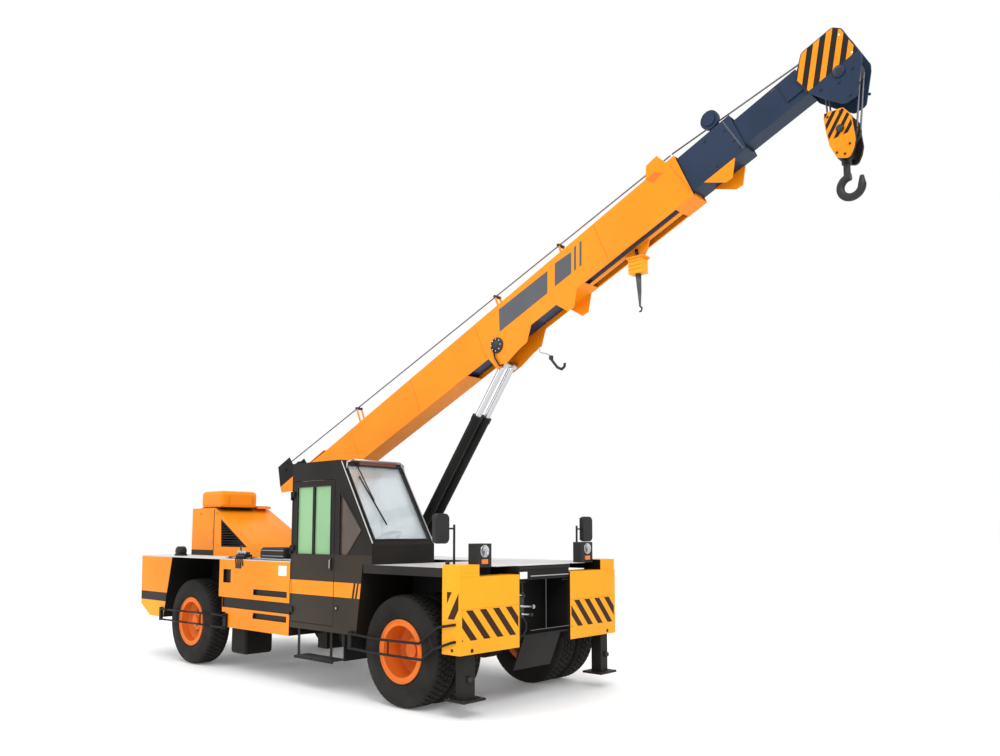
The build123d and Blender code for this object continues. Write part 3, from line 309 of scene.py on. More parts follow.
# %% The piece that gathers solids
class Piece:
    """Solids of several finishes gathered in one mesh."""

    def __init__(self):
        self.bm = bmesh.new()
        self.mats = []

    def _finish(self, faces, mat):
        if mat not in self.mats:
            self.mats.append(mat)
        for face in faces:
            face.material_index = self.mats.index(mat)

    def prism(self, outline, depth, place, mat):
        """Outline of (a, b) points pulled out by depth; place maps (a, b, c) to a point."""
        ends = [[self.bm.verts.new(place(a, b, c)) for a, b in outline] for c in (0, depth)]
        faces = [self.bm.faces.new(ends[0]), self.bm.faces.new(ends[1][::-1])]
        n = len(outline)
        for i in range(n):
            j = (i + 1) % n
            faces.append(self.bm.faces.new((ends[0][j], ends[0][i], ends[1][i], ends[1][j])))
        self._finish(faces, mat)

    def box(self, low, high, mat, place=straight):
        """Block between two corners, in the part's frame or in the one that place leads to."""
        outline = [(low[0], low[2]), (high[0], low[2]), (high[0], high[2]), (low[0], high[2])]
        self.prism(outline, high[1] - low[1], lambda a, b, c: place(a, low[1] + c, b), mat)

    def rod(self, start, end, radius, mat, sides=16, end_radius=None):
        """Round bar or cone between two points; few sides make a bolt head."""
        start, end = Vector(start), Vector(end)
        turn = (end - start).to_track_quat("Z", "Y").to_matrix()
        rings = []
        for point, r in ((start, radius), (end, radius if end_radius is None else end_radius)):
            rings.append([self.bm.verts.new(point + turn @ Vector((a, b, 0))) for a, b in circle(r, sides)])
        faces = [self.bm.faces.new(rings[0][::-1]), self.bm.faces.new(rings[1])]
        for i in range(sides):
            j = (i + 1) % sides
            face = self.bm.faces.new((rings[0][i], rings[0][j], rings[1][j], rings[1][i]))
            face.smooth = sides > 8
            faces.append(face)
        self._finish(faces, mat)

    def lathe(self, profile, centre, mat, sides=48, axis="Y"):
        """Closed profile of (along, radius) points turned about an axis through centre."""
        centre = Vector(centre)
        rings = []
        for cosine, sine in circle(1.0, sides):
            ring = []
            for s, r in profile:
                point = (r * cosine, s, r * sine) if axis == "Y" else (s, r * cosine, r * sine)
                ring.append(self.bm.verts.new(centre + Vector(point)))
            rings.append(ring)
        faces, n = [], len(profile)
        for k in range(sides):
            a, b = rings[k], rings[(k + 1) % sides]
            for i in range(n):
                j = (i + 1) % n
                face = self.bm.faces.new((a[i], a[j], b[j], b[i]))
                face.smooth = True
                faces.append(face)
        self._finish(faces, mat)

    def tube(self, points, radius, mat, sides=12):
        """Round bar along a path, with a ball at each bend."""
        points = [Vector(p) for p in points]
        for a, b in zip(points, points[1:]):
            self.rod(a, b, radius, mat, sides)
        for p in points[1:-1]:
            made = bmesh.ops.create_uvsphere(self.bm, u_segments=sides, v_segments=8, radius=radius * 1.01,
                                             matrix=Matrix.Translation(p))
            faces = {f for v in made["verts"] for f in v.link_faces}
            for f in faces:
                f.smooth = True
            self._finish(faces, mat)

    def done(self, name, body, slot, bevel=0.0):
        """Close the piece: one object with its finishes, riding on a body."""
        bmesh.ops.recalc_face_normals(self.bm, faces=self.bm.faces)
        mesh = mesh_from(self.bm, name)
        for mat in self.mats:
            mesh.materials.append(finishes[mat])
        obj = plain_object(name, mesh)
        if bevel:
            soften = obj.modifiers.new("soften", "BEVEL")
            soften.width = bevel
            soften.segments = 2
            soften.limit_method = "ANGLE"
            settle(obj)
        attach(obj, body)
        return obj


print("mesh kit ready")

# %% [markdown]
# ## Repeats with Geometry Nodes
# Tread blocks and wheel nuts stand in a circle, and the bars of chequer plate in a grid. Copying meshes in a
# loop would do, but a node group says the rule once and takes its sizes as inputs. The first group turns
# copies round the Y axis.

# %% Copies in a circle
def node_group(name, sockets):
    """Empty group with its inputs, which are (label, kind), and one geometry output."""
    group = bpy.data.node_groups.new(name, "GeometryNodeTree")
    for label, kind in sockets:
        group.interface.new_socket(label, in_out="INPUT", socket_type="NodeSocket" + kind)
    group.interface.new_socket("Geometry", in_out="OUTPUT", socket_type="NodeSocketGeometry")
    return group, group.nodes.new("NodeGroupInput"), group.nodes.new("NodeGroupOutput")


def math_node(group, operation, second=None):
    """One sum in a group, with its second number where that is fixed."""
    node = group.nodes.new("ShaderNodeMath")
    node.operation = operation
    if second is not None:
        node.inputs[1].default_value = second
    return node


def place_copies(group, given, out, points, turn):
    """Put the Unit on the points, turn the copies, make them real and give them the Finish."""
    link = group.links.new
    info = group.nodes.new("GeometryNodeObjectInfo")
    place = group.nodes.new("GeometryNodeInstanceOnPoints")
    real = group.nodes.new("GeometryNodeRealizeInstances")
    dress = group.nodes.new("GeometryNodeSetMaterial")
    link(given.outputs["Unit"], info.inputs["Object"])
    link(points, place.inputs["Points"])
    link(info.outputs["Geometry"], place.inputs["Instance"])
    link(turn, place.inputs["Rotation"])
    link(place.outputs[0], real.inputs[0])
    link(real.outputs[0], dress.inputs["Geometry"])
    link(given.outputs["Finish"], dress.inputs["Material"])
    link(dress.outputs[0], out.inputs[0])


def turned_group():
    """Copies of one object turned round Y by equal steps."""
    group, given, out = node_group("turned_copies", (
        ("Unit", "Object"), ("Count", "Int"), ("Finish", "Material")))
    link = group.links.new
    line = group.nodes.new("GeometryNodePoints")
    index = group.nodes.new("GeometryNodeInputIndex")
    share = math_node(group, "DIVIDE")
    angle = math_node(group, "MULTIPLY", 2 * math.pi)
    turn = group.nodes.new("ShaderNodeCombineXYZ")
    link(given.outputs["Count"], line.inputs["Count"])
    link(index.outputs[0], share.inputs[0])
    link(given.outputs["Count"], share.inputs[1])
    link(share.outputs[0], angle.inputs[0])
    link(angle.outputs[0], turn.inputs["Y"])
    place_copies(group, given, out, line.outputs[0], turn.outputs[0])
    return group


turned_copies = turned_group()
print("node group", turned_copies.name)

# %% [markdown]
# ## Copies in a grid
# The second group lays copies on a grid. Chequer plate turns each second bar by a quarter, so the group adds
# the number of a copy's line to its own number, takes the remainder after two, and turns the odd ones. The
# input Twist, 0 or 1, switches that on.

# %% Copies in a grid, each second one turned
def grid_group():
    """Copies of one object on a grid, each second one turned by a quarter where Twist is 1."""
    group, given, out = node_group("grid_copies", (
        ("Unit", "Object"), ("Size X", "Float"), ("Size Y", "Float"), ("Count X", "Int"), ("Count Y", "Int"),
        ("Twist", "Float"), ("Finish", "Material")))
    link = group.links.new
    grid = group.nodes.new("GeometryNodeMeshGrid")
    index = group.nodes.new("GeometryNodeInputIndex")
    column = math_node(group, "DIVIDE")
    whole = math_node(group, "FLOOR")
    both = math_node(group, "ADD")
    parity = math_node(group, "MODULO", 2.0)
    quarter = math_node(group, "MULTIPLY", math.pi / 2)
    scaled = math_node(group, "MULTIPLY")
    turn = group.nodes.new("ShaderNodeCombineXYZ")
    for label, socket in (("Size X", "Size X"), ("Size Y", "Size Y"), ("Count X", "Vertices X"),
                          ("Count Y", "Vertices Y")):
        link(given.outputs[label], grid.inputs[socket])
    link(index.outputs[0], column.inputs[0])
    link(given.outputs["Count Y"], column.inputs[1])
    link(column.outputs[0], whole.inputs[0])
    link(whole.outputs[0], both.inputs[0])
    link(index.outputs[0], both.inputs[1])
    link(both.outputs[0], parity.inputs[0])
    link(parity.outputs[0], quarter.inputs[0])
    link(quarter.outputs[0], scaled.inputs[0])
    link(given.outputs["Twist"], scaled.inputs[1])
    link(scaled.outputs[0], turn.inputs["Z"])
    place_copies(group, given, out, grid.outputs["Mesh"], turn.outputs[0])
    return group


grid_copies = grid_group()
print("node group", grid_copies.name)

# %% [markdown]
# ## Running a repeat
# A unit is a plain object that only serves as the pattern. The group's inputs are set by their identifiers
# before the first evaluation, the result is kept as plain mesh, and the unit is thrown away, so nothing in
# the file depends on the group afterwards.

# %% Units and repeats
def unit_mesh(build):
    """Pattern for a repeat: build fills an empty bmesh."""
    bm = bmesh.new()
    build(bm)
    bmesh.ops.recalc_face_normals(bm, faces=bm.faces)
    return plain_object("unit", mesh_from(bm, "unit"))


def hexahedron(bm, points):
    """Six-sided solid from four low and four high points."""
    v = [bm.verts.new(p) for p in points]
    for face in ((0, 1, 2, 3), (7, 6, 5, 4), (0, 4, 5, 1), (1, 5, 6, 2), (2, 6, 7, 3), (3, 7, 4, 0)):
        bm.faces.new([v[i] for i in face])


def repeated(name, group, unit, place, body, slot, **values):
    """Run a node group on a unit, keep the result as plain mesh, and move it by the matrix place."""
    obj = plain_object(name, bpy.data.meshes.new(name))
    nodes = obj.modifiers.new("repeat", "NODES")
    nodes.node_group = group
    sockets = {s.name: s.identifier for s in group.interface.items_tree if s.in_out == "INPUT"}
    nodes[sockets["Unit"]] = unit
    for label, value in values.items():
        nodes[sockets[label.replace("_", " ")]] = value
    settle(obj)
    obj.data.transform(place)
    bpy.data.objects.remove(unit)
    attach(obj, body)
    return obj


print("repeats ready")

# %% [markdown]
# ## Tyre carcasses
# A truck tyre is a rubber ring with moulded ridges on its side wall and a bead that grips the rim. Turning a
# profile gives exactly that shape. The profile is drawn for one half, from the bead over the side wall to
# the tread, and mirrored for the other half.

# %% The turned carcass
tread_depth = 0.013


def carcass(tag, middles, hub, body, node):
    """Carcasses of one body's tyres, whose middles are at the given y; returns the radius under the tread."""
    low, high = corners(node)
    foot = (high.z - low.z) / 2 - tread_depth
    wall = [(0.118, 0.300), (0.124, 0.322), (0.137, 0.345), (0.146, 0.375), (0.150, 0.405), (0.1505, 0.409),
            (0.1505, 0.416), (0.149, 0.420), (0.148, 0.452), (0.1472, 0.456), (0.1472, 0.462), (0.146, 0.466),
            (0.142, 0.500), (0.139, 0.518), (0.134, foot - 0.014), (0.126, foot - 0.003), (0.110, foot)]
    profile = wall + [(-s, r) for s, r in reversed(wall)] + [(-0.118, 0.285), (0.118, 0.285)]
    rubber = Piece()
    for y in middles:
        rubber.lathe(profile, (hub.x, y, hub.z), "rubber", sides=72)
    made = rubber.done("tyre_" + tag, body, "tyre")
    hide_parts(node)
    return foot


print("tread depth", tread_depth)

# %% [markdown]
# ## Tyre tread
# The tread has five rows of blocks, with the second and fourth row shifted by part of a pitch and the outer
# rows falling away at the shoulder. One pitch of five blocks is the unit, and the turned repeat lays 56 of
# them round the tyre. The crowns of the blocks end at the CAD tyre's own radius.

# %% Tread blocks laid round each tyre
tread_pitches = 56
tread_rows = ((-0.128, -0.086, 0.0), (-0.078, -0.034, 0.4), (-0.026, 0.026, 0.0), (0.034, 0.078, 0.4),
              (0.086, 0.128, 0.0))
shoulder_y = 0.120
block_slant = 2.2


def tread_pitch(foot):
    """Builder of one pitch: a row is its two edges across and its shift round, in pitches."""
    step = 2 * math.pi / tread_pitches

    def build(bm):
        for y0, y1, shift in tread_rows:
            middle = (y0 + y1) / 2
            points = []
            for rise, narrowing, fall in ((-0.006, 0.0, 0.006), (tread_depth, 0.07, 0.014)):
                for y, share in ((y0, 0.10), (y1, 0.10), (y1, 0.84), (y0, 0.84)):
                    radius = foot + rise - (fall if abs(y) > shoulder_y else 0)
                    angle = (shift + share + (0.47 - share) * narrowing + block_slant * (y - middle)) * step
                    points.append((radius * math.sin(angle), y + (middle - y) * narrowing,
                                   radius * math.cos(angle)))
            hexahedron(bm, points)

    return build


def tyres(tag, middles, hub, body, node):
    """Carcasses and tread of the tyres on one wheel body."""
    foot = carcass(tag, middles, hub, body, node)
    for k, y in enumerate(middles):
        repeated("tread_%s_%d" % (tag, k), turned_copies, unit_mesh(tread_pitch(foot)),
                 Matrix.Translation((hub.x, y, hub.z)), body, "tyre", Count=tread_pitches,
                 Finish=finishes["rubber"])


tyre_width = 0.304
for side, hand in both_sides:
    low, high = corners("front_tyres_" + side)
    outer = hand * max(abs(low.y), abs(high.y))
    inner = hand * min(abs(low.y), abs(high.y))
    twins = (outer - hand * tyre_width / 2, inner + hand * tyre_width / 2)
    tyres("front_" + side, twins, axle_front, "front_wheel_" + side, "front_tyres_" + side)
    low, high = corners("rear_tyre_" + side)
    tyres("rear_" + side, ((low.y + high.y) / 2,), axle_rear, "rear_wheel_" + side, "rear_tyre_" + side)
print("tyres made, tread blocks round each", tread_pitches * len(tread_rows))

# %% [markdown]
# ## Cutting stripes to a field
# Warning stripes are foil, cut to the outline of the plate they are stuck on. A texture could show them, but
# its edges blur close up and it needs a map. Here each bar is a thin sheet. It is clipped against the
# straight sides of its field, one side after the other, which works for any convex outline.

# %% Clipped bars
def cut(shape, na, nb, limit):
    """Keep the part of a convex outline where na * a + nb * b is at most limit."""
    kept = []
    for p, q in zip(shape, shape[1:] + shape[:1]):
        past_p = na * p[0] + nb * p[1] - limit
        past_q = na * q[0] + nb * q[1] - limit
        if past_p <= 0:
            kept.append(p)
        if past_p * past_q < 0:
            t = past_p / (past_p - past_q)
            kept.append((p[0] + t * (q[0] - p[0]), p[1] + t * (q[1] - p[1])))
    return kept


def sides_of(outline, inset=0.0):
    """The half planes (na, nb, limit) that bound a convex outline, moved in by inset."""
    middle_a = sum(p[0] for p in outline) / len(outline)
    middle_b = sum(p[1] for p in outline) / len(outline)
    planes = []
    for p, q in zip(outline, outline[1:] + outline[:1]):
        length = math.hypot(q[0] - p[0], q[1] - p[1])
        na, nb = (q[1] - p[1]) / length, (p[0] - q[0]) / length
        limit = na * p[0] + nb * p[1]
        if na * middle_a + nb * middle_b > limit:
            na, nb, limit = -na, -nb, -limit
        planes.append((na, nb, limit - inset))
    return planes


def box_outline(a0, b0, a1, b1):
    """Corners of a rectangle, in order."""
    return [(a0, b0), (a1, b0), (a1, b1), (a0, b1)]


foil = 0.0015


def stripes(piece, outline, width, pitch, slope, place, mat, start=0.0, inset=0.0):
    """Slanted bars clipped to a convex outline; slope is the shift of a for each unit of b."""
    planes = sides_of(outline, inset)
    a0, a1 = min(p[0] for p in outline), max(p[0] for p in outline)
    b0, b1 = min(p[1] for p in outline), max(p[1] for p in outline)
    lean = slope * (b1 - b0)
    n = int((a1 - a0 + abs(lean)) / pitch) + 3
    for k in range(-n, n + 1):
        base = a0 + start + k * pitch
        bar = [(base, b0), (base + width, b0), (base + width + lean, b1), (base + lean, b1)]
        for na, nb, limit in planes:
            bar = cut(bar, na, nb, limit)
            if len(bar) < 3:
                break
        if len(bar) >= 3:
            piece.prism(bar, foil, place, mat)


print("foil", foil, "m thick")

# %% [markdown]
# ## Hazard bars on the jack boxes
# Each jack box has dark bars across the lower half of its front and a few more at the front of its side. The
# bars of both fronts lean the same way, so one slope serves both. Each field is a plain rectangle a little
# inside the plate, and the clipping does the rest.

# %% Bars on the front and the side of the jack boxes
bars_low, bars_high = 0.728, 1.012
edge_outer, edge_inner = 0.030, 0.020
for side, hand in both_sides:
    low, high = corners("front_box_" + side)
    hazard = Piece()
    y0, y1 = low.y + edge_inner, high.y - edge_outer
    if hand < 0:
        y0, y1 = low.y + edge_outer, high.y - edge_inner
    stripes(hazard, box_outline(y0, bars_low, y1, bars_high), 0.092, 0.188, -0.893,
            lambda a, b, c: Vector((high.x - 0.0005 + c, a, b)), "maroon", -0.073)
    stripes(hazard, box_outline(1.345, 0.930, 1.500, 1.185), 0.090, 0.185, 0.588,
            lambda a, b, c: Vector((a, hand * (side_face - 0.0005 + c), b)), "maroon", 0.01)
    hazard.done("hazard_" + side, "carrier", "orange")
print("hazard bars")

# %% [markdown]
# ## Softened edges and two-tone panels
# Sheet metal is folded, so its edges catch a thin line of light that sharp CAD edges never show. The packed
# node itself stays as it is. A copy of it is merged, cut where the paint changes, given its finishes face by
# face, and bevelled, and the copy then stands in for the node. One rule that maps a face's centre and normal
# to a finish is shorter than picking faces by hand, and it survives a rebuilt mesh.

# %% Stand-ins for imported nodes
body_of = {n: b for b, names in frame["record"]["behaviour"]["bodies"].items() for n in names}


def recoat(node, rule, bevel=0.0, levels=(), segments=2):
    """Stand-in for a node, cut at some levels, whose faces take a finish from rule(centre, normal)."""
    bm = bmesh.new()
    bm.from_mesh(frame["nodes"][node].data)
    bmesh.ops.remove_doubles(bm, verts=bm.verts, dist=2e-5)
    if bevel:
        bmesh.ops.dissolve_limit(bm, angle_limit=math.radians(0.6), verts=bm.verts, edges=bm.edges)
    for height in levels:
        bmesh.ops.bisect_plane(bm, geom=bm.verts[:] + bm.edges[:] + bm.faces[:], dist=1e-6,
                               plane_co=(0, 0, height), plane_no=(0, 0, 1))
    mats = []
    for face in bm.faces:
        mat = rule(face.calc_center_median(), face.normal)
        if mat not in mats:
            mats.append(mat)
        face.material_index = mats.index(mat)
        face.smooth = bevel > 0
    for edge in bm.edges:
        edge.smooth = len(edge.link_faces) == 2 and edge.calc_face_angle(0) < math.radians(28)
    mesh = mesh_from(bm, "dressed_" + node)
    for mat in mats:
        mesh.materials.append(finishes[mat])
    obj = plain_object("dressed_" + node, mesh)
    if bevel:
        fold = obj.modifiers.new("fold", "BEVEL")
        fold.width = bevel
        fold.segments = segments
        fold.limit_method = "ANGLE"
        fold.angle_limit = math.radians(30)
        fold.harden_normals = True
        settle(obj)
    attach(obj, body_of[node])
    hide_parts(node)
    return obj


def all_over(mat):
    """Rule for a node in one finish."""
    return lambda centre, normal: mat


print("bodies by node", len(body_of))

# %% [markdown]
# ## Paint of the carrier
# The tail ballast is orange with a yellow foot and a dark band above it, and its openings are black inside.
# The side boxes carry the band on in a shallow step, and the jack boxes are yellow outside only. Each rule
# below says where one part changes colour. The engine's cowl is a softly rounded box, narrower than its CAD
# node, so it is simply made anew with a wide bevel.

# %% Tail, jack boxes, side boxes and hood
band_floor_z, band_top_z = 0.785, 0.905
sunk_below = side_face - 0.0005


def tail_paint(centre, normal):
    if centre.x > -4.95 and abs(centre.y) < 1.262 and abs(normal.z) < 0.9:
        return "black"
    if normal.z < -0.9 and centre.x > -5.0:
        return "black"
    if centre.z < 0.78:
        return "yellow"
    if centre.z < band_top_z and abs(normal.z) < 0.5 and centre.x > -5.05:
        return "stripe"
    return "orange"


def front_box_paint(centre, normal):
    outside = normal.x > 0.4 or abs(centre.y) > 1.25 or normal.z > 0.5
    return "yellow" if outside else "black"


def side_box_paint(centre, normal):
    if abs(centre.y) < 1.20 and not normal.z > 0.9:
        return "black"
    sunk = abs(centre.y) < sunk_below
    if sunk and abs(centre.y) > 1.2 and abs(normal.z) < 0.9:
        return "stripe"
    if sunk and 0.74 < centre.z < 0.93:
        return "stripe"
    return "orange"


recoat("rear_body", tail_paint, 0.004, (band_floor_z, band_top_z))
for side, hand in both_sides:
    recoat("front_box_" + side, front_box_paint, 0.004)
    recoat("side_box_" + side, side_box_paint)
recoat("engine_hood", all_over("orange"), 0.012, segments=3)
cowl_low, cowl_high = corners("hood_cowl")
cowl = Piece()
cowl.box(cowl_low, (cowl_high.x, cowl_low.y + 0.60, cowl_high.z), "orange")
cowl = cowl.done("hood_intake", "carrier", "orange", bevel=0.055)
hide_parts("hood_cowl")
print("carrier painted, cowl from", cowl_low[:])

# %% [markdown]
# ## Paint of the boom and the hook block
# The sections are folded box girders, painted before they are put together, so each has one colour all over.
# The hook block's two cheeks are orange outside and dark between, which its rule tells from the side that a
# face looks to.

# %% Boom sections, head and block
def block_paint(centre, normal):
    outward = normal.y * centre.y > 0 and abs(normal.y) > 0.5
    return "orange" if outward else "stripe"


recoat("head_cheeks", all_over("navy"), 0.003)
recoat("hook_block", block_paint, 0.003)
for node, mat, slot in (("boom_base", "orange", "orange"), ("boom_mid", "navy", "grey"),
                        ("boom_fly", "navy", "grey")):
    recoat(node, all_over(mat), 0.0025)
print("boom painted")

# %% [markdown]
# ## Lower edge of the side box band
# The dark band lies in a shallow step of the side box, and the lowest part of that step is painted orange.
# Paint inside a recess could come from one more cut of the mesh. A thin plate that fills the recess flush
# with the panel is simpler, and it leaves the long handle slot of the right box open.

# %% Plates in the foot of the band
recess_y, flush_y = 1.263, side_face - 0.0002
plate_foot, slot_top, plate_top = 0.742, 0.771, 0.800
slot_rear, slot_front = -2.050, -1.330
edges = Piece()
for x0, x1, foot in ((-2.768, slot_rear, plate_foot), (slot_rear, slot_front, slot_top),
                     (slot_front, -1.276, plate_foot)):
    edges.box((x0, -flush_y, foot), (x1, -recess_y, plate_top), "orange")
edges.box((-2.768, recess_y, plate_foot), (-0.201, flush_y, plate_top), "orange")
edges.done("band_edges", "carrier", "orange")
print("band edges up to", plate_top)

# %% [markdown]
# ## Boom panels and seams
# Two grey panels and two slim bars lie on each cheek of the base section, and thin seams run down it. They
# are foil on the real boom, and here they stay blank. A darker orange sheet near the front is painted shade in
# a shallow pocket of the cheek. A thin sheet in the boom's own frame keeps a sharp edge without any map, and
# one helper lays it on both cheeks.

# %% Sheets on the cheeks of the boom
def on_cheek(hand, skin, frame_to):
    """Place function for sheets on an upright cheek, whose half width is skin."""
    return lambda a, b, c: frame_to(a, hand * (skin - 0.0003 + c), b)


def field(piece, outline, skin, mat, thick=foil):
    """Flat sheet on both cheeks of a boom section, with its outline in (u, v)."""
    for hand in (-1, 1):
        piece.prism(outline, thick, on_cheek(hand, skin, on_boom), mat)


def bolts(piece, places, skin, out, radius, mat, sides=6, frame_to=on_boom):
    """Bolt heads on both cheeks, from the half width skin to the half width out."""
    for hand in (-1, 1):
        for a, b in places:
            piece.rod(frame_to(a, hand * skin, b), frame_to(a, hand * out, b), radius, mat, sides)


marks = Piece()
for outline, mat in (([(3.500, 0.478), (4.258, 0.456), (4.157, 0.237), (3.405, 0.241)], "panel"),
                     ([(4.375, 0.468), (4.605, 0.445), (4.509, 0.239), (4.270, 0.242)], "panel"),
                     ([(4.657, 0.470), (4.686, 0.470), (4.578, 0.241), (4.550, 0.240)], "panel"),
                     ([(4.737, 0.474), (4.766, 0.472), (4.655, 0.236), (4.626, 0.237)], "panel"),
                     ([(5.918, 0.480), (5.924, 0.480), (6.000, 0.100), (5.994, 0.100)], "rim"),
                     # The next sheet is darker orange painted shade in a shallow pocket of the cheek.
                     ([(5.650, 0.535), (5.768, 0.535), (5.832, 0.462), (5.704, 0.455)], "rim")):
    field(marks, outline, base_half, mat)
for hand in (-1, 1):
    y0, y1 = sorted((hand * (base_half - 0.0002), hand * (base_half + 0.0015)))
    for u in (0.62, 1.9, 3.1, 4.95):
        marks.box((u, y0, 0.075), (u + 0.006, y1, 0.52), "rim", on_boom)
marks.done("boom_fields", "boom", "grey")
print("boom fields on half width", base_half)

# %% [markdown]
# ## Round fitting on the boom
# A bolted round cover sits on each cheek above the lift cylinders, and two hoses run down beside the right
# one. The cover is a turned part, so a short profile is lathed. The eight bolts are six-sided rods, as a bolt
# head is.

# %% Pin covers and hoses
cover_u, cover_v = 3.31, 0.12
fitting = Piece()
for hand in (-1, 1):
    profile = handed(hand, [(0.001, 0.0), (0.001, 0.088), (0.016, 0.088), (0.020, 0.078), (0.020, 0.052),
                            (0.034, 0.046), (0.036, 0.0)])
    fitting.lathe(profile, on_boom(cover_u, hand * base_half, cover_v), "iron", 40)
    for a, b in circle(0.068, 8):
        head = on_boom(cover_u, hand * 0.150, cover_v) + Vector((a, 0, b))
        fitting.rod(head, head + Vector((0, hand * 0.010, 0)), 0.008, "steel", 6)
for y in (-0.142, -0.150):
    start = on_boom(3.25, y, 0.10)
    fitting.tube([start, start + Vector((0.03, -0.006, -0.10)), start + Vector((0.10, -0.004, -0.20)),
                  on_boom(3.30, y + 0.02, -0.125)], 0.007, "hose", 8)
fitting.done("boom_fitting", "boom", "iron")
print("boom fitting at", on_boom(cover_u, 0, cover_v)[:])

# %% [markdown]
# ## Outlines of the striped plates
# The plates of the boom head and of the hook block are cut steel with many corners, and only their upper part
# is striped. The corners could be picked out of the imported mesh, but a short list in millimetres about a
# middle point is easier to read and to change. A slanted line then cuts off the lower part with the same
# function that clips the stripes.

# %% Outlines of the head plate and the block plate
head_half, block_half = 0.115, 0.100
head_at, block_at = (7.520, 0.115), (4.770, 5.080)
head_plate = [(-315, 218), (-166, 392), (128, 391), (184, 319), (206, 2), (182, -55), (17, -295), (-88, -287),
              (-174, -158), (-271, 13)]
block_plate = [(-139, 180), (27, 178), (93, 93), (119, -124), (105, -192), (67, -271), (-36, -239),
               (-96, -115), (-126, 44)]


def plate_outline(at, points):
    """Outline in metres from millimetres about a middle point."""
    return [(at[0] + a / 1000, at[1] + b / 1000) for a, b in points]


head_field = cut(plate_outline(head_at, head_plate), 0.024, -1.0, 0.024 * 7.318 - 0.143)
block_field = cut(plate_outline(block_at, block_plate), 0.15, -1.0, 0.15 * 4.639 - 4.994)
print("corners of the striped fields", len(head_field), len(block_field))

# %% [markdown]
# ## Stripes, bolts and caps on the boom head
# Orange and dark warning stripes alternate on each head plate, a centimetre inside its edge. Two sets of bars
# with one pitch and different starts make them, so neither colour lies over the other. The bolts are rods and
# the cap is a lathed disc.

# %% Head plates
head_marks = Piece()
for hand in (-1, 1):
    for width, mat, start in ((0.060, "orange", 0.022), (0.062, "stripe", 0.082)):
        stripes(head_marks, head_field, width, 0.122, 0.69, on_cheek(hand, head_half, on_boom), mat, start,
                0.010)
    profile = handed(hand, [(0.0, 0.0), (0.0, 0.052), (0.010, 0.052), (0.013, 0.046), (0.014, 0.0)])
    head_marks.lathe(profile, on_boom(head_at[0], hand * head_half, head_at[1]), "navy", 32)
bolts(head_marks, ((7.664, 0.393), (7.673, 0.177)), head_half, 0.122, 0.008, "white", 12)
bolts(head_marks, ((7.477, 0.034), (7.614, 0.060), (7.335, 0.09), (7.50, -0.13), (7.60, -0.10)), head_half,
      0.123, 0.013, "navy")
head_marks.done("head_stripes", "fly", "orange")
print("head stripes")

# %% [markdown]
# ## Stripes and caps on the hook block
# The block's cheeks carry the same stripes at a smaller pitch. The block hangs plumb, so its sheets are
# placed upright in the part's frame instead of the boom's, with the same clipping.

# %% Block plates
block_marks = Piece()
for hand in (-1, 1):
    stripes(block_marks, block_field, 0.036, 0.073, 0.61, on_cheek(hand, block_half, straight), "stripe",
            -0.004, 0.008)
    profile = handed(hand, [(0.0, 0.0), (0.0, 0.034), (0.012, 0.032), (0.014, 0.026), (0.014, 0.0)])
    block_marks.lathe(profile, (block_at[0], hand * 0.1085, block_at[1]), "iron", 28)
bolts(block_marks, ((4.668, 5.215), (4.775, 5.228), (4.842, 4.93), (4.80, 4.855), (4.735, 4.885)), block_half,
      0.109, 0.010, "iron", frame_to=straight)
block_marks.box((4.640, -0.074, 5.246), (4.795, -0.050, 5.262), "stripe")
block_marks.done("block_stripes", "block", "grey")
print("block stripes")

# %% [markdown]
# ## Small marks on the moving sections
# The fly and mid sections show a pale plate, slim lines and the heads of the bolts that hold their slide
# pads. They ride on their own section, so they move out with it.

# %% Trims of the fly and mid sections
trims = Piece()
field(trims, box_outline(7.118, 0.262, 7.150, 0.280), fly_half, "white", 0.003)
field(trims, [(7.166, 0.400), (7.178, 0.400), (7.250, 0.165), (7.238, 0.165)], fly_half, "panel")
field(trims, box_outline(6.990, 0.405, 7.040, 0.413), fly_half, "panel")
trims.done("fly_trims", "fly", "grey")
trims = Piece()
field(trims, [(6.520, 0.485), (6.534, 0.485), (6.580, 0.120), (6.566, 0.120)], mid_half, "panel")
bolts(trims, ((6.531, 0.248), (6.500, 0.40), (6.555, 0.16), (6.30, 0.45), (6.30, 0.15)), mid_half, 0.117,
      0.011, "iron")
trims.done("mid_trims", "mid", "grey")
print("trims on half widths", fly_half, mid_half)

# %% [markdown]
# ## Hoist rope over the boom
# The rope leaves the winch drum, runs over three small rollers above the boom and down into the head. It
# could be one curve, but a curve can't follow two moving sections. So it is two runs, and each rides with
# one section: the rear run with the base and the front run with the fly. When the boom telescopes, a gap
# opens between them. The rollers stand on brackets just under the rope.

# %% Rear run on its rollers, front run over the head roller
rope_start, rope_slope = -0.92, 0.0321


def roller_height(u):
    """Height of a roller's axis, 0.02 under the rope."""
    return 0.855 - rope_slope * (u - rope_start)


